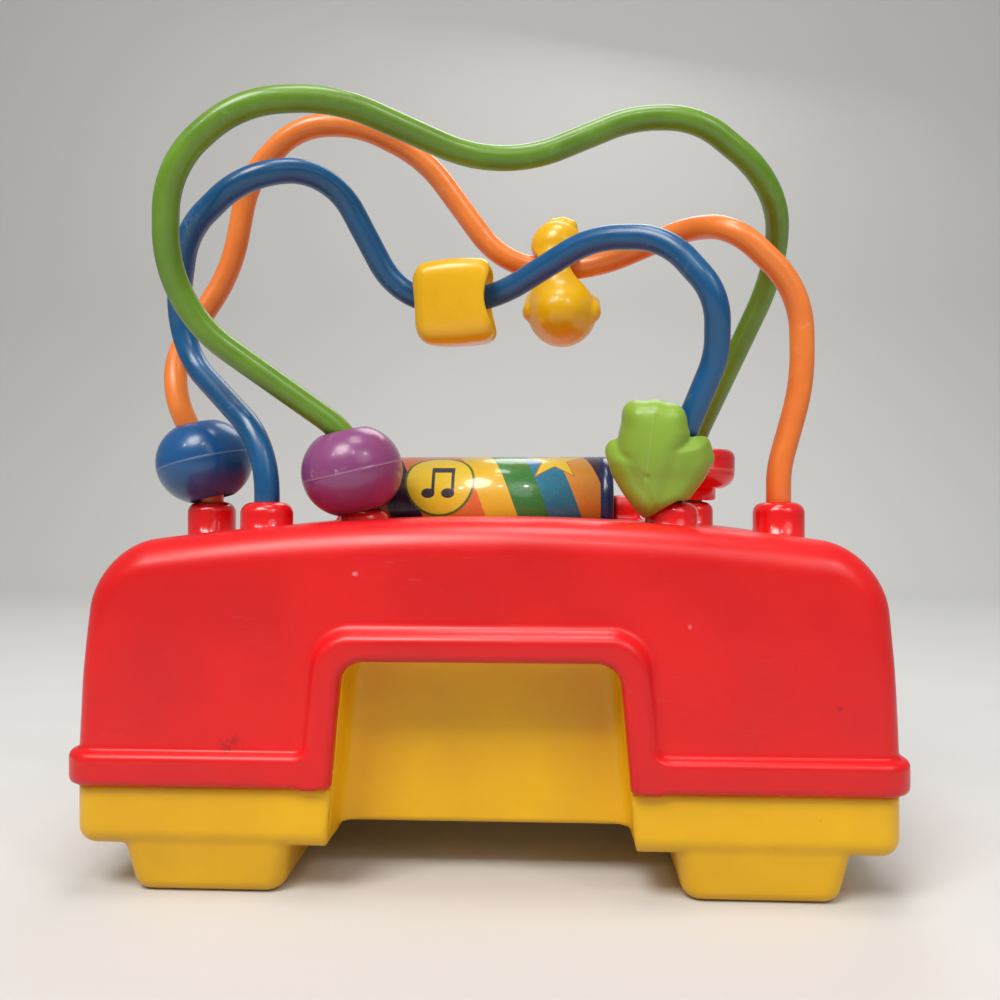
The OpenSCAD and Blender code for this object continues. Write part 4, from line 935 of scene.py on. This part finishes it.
def printed_label():
    """Slanted stripes, discs with a plain note and stars, under a worn varnish."""
    graph = Graph("label_print", **{"Coat Weight": 0.8, "Coat Roughness": 0.09})
    parts = graph.add("ShaderNodeSeparateXYZ", {0: graph.where}).outputs
    turn = graph.math("ARCTAN2", graph.times(parts[1], -1.0), parts[2])
    along = graph.math("DIVIDE", parts[0], MM)
    around = graph.times(turn, ROLLER_R)
    slant = graph.math("SUBTRACT", along, graph.times(around, STRIPE_SLANT))
    shade = stripes(graph, slant)
    ink = srgb(58, 56, 66)
    disc_yellow = srgb(238, 204, 48)
    leaf_green = srgb(74, 110, 32)
    star_yellow = srgb(246, 208, 52)
    star_rim = srgb(196, 96, 36)
    fifth = 2 * math.pi / 5

    def distance(at, squeeze=1.0):
        dx = graph.math("SUBTRACT", along, at[0])
        dy = graph.math("DIVIDE", graph.math("SUBTRACT", around, at[1]), squeeze)
        return graph.math("SQRT", graph.math("ADD", graph.times(dx, dx), graph.times(dy, dy)))

    def within(value, limit):
        return graph.ramp(value, limit + PRINT_EDGE, limit - PRINT_EDGE)

    def past(value, low, high):
        away = graph.math("ABSOLUTE", graph.math("SUBTRACT", value, (low + high) / 2))
        return graph.math("SUBTRACT", away, (high - low) / 2)

    def bar(x0, x1, y0, y1):
        return within(graph.math("MAXIMUM", past(along, x0, x1), past(around, y0, y1)), 0.0)

    def star(at, size):
        dx = graph.math("SUBTRACT", along, at[0])
        dy = graph.math("SUBTRACT", around, at[1])
        angle = graph.math("ADD", graph.math("ARCTAN2", dy, dx), math.pi / 2)
        turned = graph.math("FLOORED_MODULO", graph.math("ADD", angle, fifth / 2), fifth)
        sector = graph.math("SUBTRACT", turned, fifth / 2)
        fold = graph.math("SUBTRACT", graph.math("ABSOLUTE", sector), fifth)
        width = graph.times(distance(at), graph.math("COSINE", fold))
        return within(width, size * math.cos(fifth))

    for x, y in DISCS:
        disc = distance((x, y), DISC_TALLNESS)
        shade = graph.mix(within(disc, DISC_R), shade, leaf_green)
        shade = graph.mix(within(disc, DISC_R - DISC_RIM), shade, disc_yellow)
        for head_x in NOTE_HEADS_X:
            head = distance((x + head_x, y + NOTE_LOW), NOTE_HEAD_FLATNESS)
            shade = graph.mix(within(head, NOTE_HEAD_R), shade, ink)
            stem_from, stem_to = x + head_x + NOTE_STEM_FROM, x + head_x + NOTE_STEM_TO
            shade = graph.mix(bar(stem_from, stem_to, y + NOTE_HIGH, y + NOTE_LOW), shade, ink)
        left, right, high, low = NOTE_BEAM
        shade = graph.mix(bar(x + left, x + right, y + high, y + low), shade, ink)
    for at in STARS:
        shade = graph.mix(star(at, STAR_R), shade, star_rim)
        shade = graph.mix(star(at, STAR_R - STAR_RIM), shade, star_yellow)
    wear = graph.times(graph.ramp(graph.noise(1400, 4.0), 0.6, 0.7), 0.14)
    shade = graph.mix(wear, shade, srgb(245, 238, 220))
    rough = graph.ramp(graph.noise(120, 3.0), 0.3, 0.7, 0.25, 0.4)
    return graph.finish(shade, rough, graph.noise(700, 3.0), 0.015)


# Pieces of the base
def housing_piece(name, field, node, material):
    points, quads = surface_of(field, *box_mm(node), HOUSING_CELL)
    make_piece(name, points, quads, material, "base", [node])


housing_piece("arched_top", top_housing, "top_housing", red_plastic)
housing_piece("footed_bottom", bottom_housing, "bottom_housing", yellow_plastic)


def socket_profile(top, bottom):
    hole = WIRE_R + SOCKET_WIRE_GAP
    collar = SOCKET_R + SOCKET_COLLAR_OUT
    collar_top = bottom + SOCKET_COLLAR_H
    dome = arc(SOCKET_R - SOCKET_EDGE_R, top - SOCKET_EDGE_R, SOCKET_EDGE_R, 0, 90, 14)
    lip = [(hole + SOCKET_LIP, top + SOCKET_LIP_RISE), (hole, top - SOCKET_LIP)]
    return [(hole, bottom), (collar, bottom), (collar, collar_top), (SOCKET_R, collar_top), *dome, *lip]


for wire_name, ends in (("green", GREEN_ENDS), ("blue", BLUE_ENDS), ("orange", ORANGE_ENDS)):
    for side, at in zip(("left", "right"), ends):
        node = f"{wire_name}_{side}_socket"
        lo, hi = box_mm(node)
        axes = np.eye(4)
        axes[:2, 3] = at
        points, faces = revolved(socket_profile(hi[2], lo[2]), 72)
        make_piece(f"domed_{node}", points, faces, socket_plastic, "base", [node], axes)

green_wire = Wire(GREEN_ENDS, GREEN_BENDS)
blue_wire = Wire(BLUE_ENDS, BLUE_BENDS)
orange_wire = Wire(ORANGE_ENDS, ORANGE_BENDS)
WIRES = {"green": (green_wire, GREEN), "blue": (blue_wire, BLUE), "orange": (orange_wire, ORANGE)}
for wire_name, (wire, colour) in WIRES.items():
    points, faces = wire.tube(WIRE_R)
    make_piece(f"bent_{wire_name}_wire", points, faces, coated_wire(f"{wire_name}_coating", colour), "base",
               [f"{wire_name}_wire"])


# Beads
def ball_profile():
    """Oblate ball with its bore, and a fine parting ridge round its middle."""
    middle = BALL_R - BALL_FLANK_R
    mouth = math.degrees(math.acos((BALL_BORE_R - middle) / BALL_FLANK_R))
    lower = arc(middle, 0, BALL_FLANK_R, -mouth, -BALL_RIDGE_TURN, 40)
    upper = arc(middle, 0, BALL_FLANK_R, BALL_RIDGE_TURN, mouth, 40)
    ridge = [(BALL_R + RIDGE_OUT, -RIDGE_HALF), (BALL_R + RIDGE_OUT, RIDGE_HALF)]
    half = upper[-1][1]
    inner = [(BALL_BORE_R, half * (1 - 2 * k / 12)) for k in range(1, 12)]
    return [*lower, *ridge, *upper, *inner]


def saucer_profile():
    """Thick disc with a round rim, a parting ridge, a bore and a short hub below."""
    hub_z = SAUCER_HUB_EDGE - SAUCER_HUB_HALF
    hub = arc(SAUCER_HUB_R - SAUCER_HUB_EDGE, hub_z, SAUCER_HUB_EDGE, -90, 0, 8)
    lower = arc(SAUCER_R - SAUCER_LOW_R, SAUCER_LOW_R - SAUCER_HALF, SAUCER_LOW_R, -90, 0, 14)
    ridge = [(SAUCER_R, -SAUCER_RIDGE_FOOT), (SAUCER_R + RIDGE_OUT, -RIDGE_HALF),
             (SAUCER_R + RIDGE_OUT, RIDGE_HALF), (SAUCER_R, SAUCER_RIDGE_FOOT)]
    upper = arc(SAUCER_R - SAUCER_TOP_R, SAUCER_HALF - SAUCER_TOP_R, SAUCER_TOP_R, 0, 90, 12)
    mouth = [(BEAD_BORE_R + SAUCER_BORE_EDGE, SAUCER_HALF), (BEAD_BORE_R, SAUCER_HALF - SAUCER_BORE_EDGE)]
    hub = [(BEAD_BORE_R, -SAUCER_HUB_HALF), *hub, (SAUCER_HUB_R, -SAUCER_HALF)]
    return [*hub, *lower, *ridge, *upper, *mouth]


points, faces = revolved(ball_profile(), 120)
axes = orange_wire.bead_axes(BALL_HALF + BLUE_BALL_GAP, shift=BLUE_BALL_SHIFT, axis_s=BALL_AXIS_S)
make_piece("oblate_blue_ball", points, faces, bead_blue, "blue_ball", ["blue_ball"], axes)
axes = green_wire.bead_axes(BALL_HALF - LOW_SOCKET_DROP, shift=PURPLE_BALL_SHIFT, axis_s=BALL_AXIS_S)
make_piece("oblate_purple_ball", points, faces, bead_purple, "purple_ball",
           ["purple_ball"], axes)
points, faces = revolved(saucer_profile(), 96)
saucer_s = green_wire.length - SAUCER_HUB_HALF - SAUCER_GAP
axes = green_wire.bead_axes(saucer_s, way=-1, shift=SAUCER_SHIFT)
make_piece("hubbed_red_saucer", points, faces, bead_red, "red_saucer", ["red_saucer"], axes)


def field_bead(name, field, reach, material, node, axes):
    reach = np.array(reach, float)
    points, quads = surface_of(field, -reach, reach, BEAD_CELL)
    make_piece(name, points, quads, material, node, [node], axes)


cube_s = blue_wire.bend_ends[CUBE_BEND] + CUBE_PAST_BEND
field_bead("dished_yellow_cube", cube_bead, CUBE_REACH, bead_yellow, "yellow_cube",
           blue_wire.bead_axes(cube_s, CUBE_FACING, shift=CUBE_SHIFT))
duck_s = orange_wire.bend_ends[DUCK_BEND] + DUCK_PAST_BEND
field_bead("moulded_yellow_duck", duck_bead, DUCK_REACH, bead_yellow, "yellow_duck",
           orange_wire.bead_axes(duck_s, DUCK_FACING, shift=DUCK_SHIFT))
frog_axes = blue_wire.bead_axes(blue_wire.length - FROG_UP, way=-1, shift=FROG_SHIFT)
field_bead("moulded_green_frog", lambda p: frog_on_socket(p, frog_axes), FROG_REACH, bead_green,
           "green_frog", frog_axes)

# Roller: own axes with z along the axle, towards the right
roller_axes = np.array([[0, 0, 1, 0], [0, 1, 0, 0], [-1, 0, 0, ROLLER_Z], [0, 0, 0, 1]], float)
tube_r = ROLLER_R - LABEL_T


def ring_profile(inner, outer, half):
    return [(inner, -half), (outer, -half), (outer, half), (inner, half)]


def cap_profile():
    """Round-edged end cap with a shallow dish round its hub."""
    length = ROLLER_HALF - LABEL_HALF
    bore = AXLE_R + AXLE_GAP
    plug = tube_r - TUBE_WALL
    edge = arc(ROLLER_R - CAP_EDGE_R, length - CAP_EDGE_R, CAP_EDGE_R, 0, 90, 10)
    dish_r = ROLLER_R - CAP_RIM_W
    dish_z = length - CAP_DISH_DEPTH
    dish = [(dish_r, length), (dish_r - CAP_DISH_SLOPE, dish_z), (CAP_HUB_R + CAP_DISH_SLOPE, dish_z),
            (CAP_HUB_R, length)]
    hub = [(bore, -CAP_PLUG_L), (2 * AXLE_R, -CAP_PLUG_L), (2 * AXLE_R, -CAP_WEB)]
    skirt = [(plug - TUBE_WALL, -CAP_WEB), (plug - TUBE_WALL, -CAP_PLUG_L), (plug, -CAP_PLUG_L), (plug, 0)]
    return [*hub, *skirt, (ROLLER_R, 0), *edge, *dish, (bore, length)]


points, faces = revolved(ring_profile(tube_r - TUBE_WALL, tube_r, LABEL_HALF), 96)
make_piece("drum_tube", points, faces, navy_plastic, "roller", ["roller_tube"], roller_axes)
for side, node in ((-1, "roller_left_cap"), (1, "roller_right_cap")):
    axes = roller_axes.copy()
    axes[:3, 0] *= side
    axes[:3, 2] *= side
    axes[0, 3] = side * LABEL_HALF
    points, faces = revolved(cap_profile(), 96)
    make_piece(f"round_{node}", points, faces, navy_plastic, "roller", [node], axes)

label_axes = np.eye(4)
label_axes[2, 3] = ROLLER_Z
points, faces = revolved(ring_profile(tube_r, ROLLER_R, LABEL_HALF), 120)
points = points[:, [2, 1, 0]] * np.array([1, 1, -1])
make_piece("printed_drum_label", points, faces, printed_label(), "roller",
           ["roller_label"], label_axes)

# Solids that keep their own shape
CAD_MATERIALS = {
    steel: ["wire_retainers", "roller_axle", "leaf_contact", "board_screws", "battery_door_screw",
            "batteries", "battery_contacts", "housing_screws"],
    navy_plastic: ["roller_cam"],
    board_green: ["circuit_board"],
    black_plastic: ["sound_chip", "speaker"],
    yellow_plastic: ["battery_door"],
}
for material, nodes in CAD_MATERIALS.items():
    for node in nodes:
        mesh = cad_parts[node].data
        mesh.materials.clear()
        mesh.materials.append(material)


# Floor, light and camera
def stage_sweep():
    """A pale floor that curves up into a backdrop."""
    half, back, radius, front, height = 3.0, 1.4, 0.5, -2.5, 2.6
    line = [(front, 0.0), *arc(back - radius, radius, radius, -90, 0, 16), (back, height)]
    points = [(x, y, z) for y, z in line for x in (-half, half)]
    faces = [(2 * i, 2 * i + 1, 2 * i + 3, 2 * i + 2) for i in range(len(line) - 1)]
    mesh = bpy.data.meshes.new("stage_sweep")
    mesh.from_pydata(points, [], faces)
    mesh.shade_smooth()
    graph = Graph("stage_paper")
    pale = graph.mix(graph.noise(3, 2.0), srgb(214, 214, 212), srgb(220, 220, 218))
    path = graph.add("ShaderNodeLightPath").outputs
    seen = graph.math("MAXIMUM", path["Is Camera Ray"],
                      graph.math("MAXIMUM", path["Is Glossy Ray"], path["Is Transmission Ray"]))
    tone = graph.mix(seen, srgb(176, 176, 174), pale)
    mesh.materials.append(graph.finish(tone, 0.8))
    sweep = bpy.data.objects.new("stage_sweep", mesh)
    bpy.context.scene.collection.objects.link(sweep)


LAMPS_AIM = (0.0, 0.0, 0.12)


def lamp(name, at, size, power, colour=(1, 1, 1)):
    light = bpy.data.lights.new(name, "AREA")
    light.shape = "DISK"
    light.size = size
    light.energy = power
    light.color = colour
    holder = bpy.data.objects.new(name, light)
    holder.location = at
    holder.rotation_mode = "QUATERNION"
    holder.rotation_quaternion = (Vector(LAMPS_AIM) - Vector(at)).to_track_quat("-Z", "Y")
    bpy.context.scene.collection.objects.link(holder)


stage_sweep()
lamp("key", (-0.45, -0.95, 1.5), 0.8, 19.0, (1.0, 0.97, 0.93))
lamp("fill", (0.85, -1.1, 1.1), 1.0, 3.5)
lamp("top", (0.05, -0.15, 1.5), 0.5, 5.0)
lamp("rim", (0.2, 1.0, 1.3), 0.8, 5.0)
for at in ((-0.85, -0.95, 1.1), (0.2, -1.15, 1.35), (0.85, -0.9, 1.2)):
    lamp("ceiling", at, 0.09, 1.6, (1.0, 0.95, 0.88))

world = bpy.data.worlds.new("soft_room")
world.use_nodes = True
background = world.node_tree.nodes["Background"].inputs
background["Color"].default_value = (0.95, 0.97, 1.0, 1.0)
background["Strength"].default_value = 0.25
bpy.context.scene.world = world

# Camera where the photograph was taken from: level, a little to the right and turned to the left
CAMERA_AT = (21.6, -370.8, 127.8)
CAMERA_TURN = 2.9
CAMERA_LENS = 34.2
camera = bpy.data.cameras.new("viewpoint")
camera.lens = CAMERA_LENS
camera.sensor_width = 36.0
camera.clip_start = 0.01
viewpoint = bpy.data.objects.new("viewpoint", camera)
viewpoint.location = [c * MM for c in CAMERA_AT]
viewpoint.rotation_euler = (math.radians(90), 0, math.radians(CAMERA_TURN))
bpy.context.scene.collection.objects.link(viewpoint)
bpy.context.scene.camera = viewpoint
bpy.context.scene.view_settings.view_transform = "Standard"
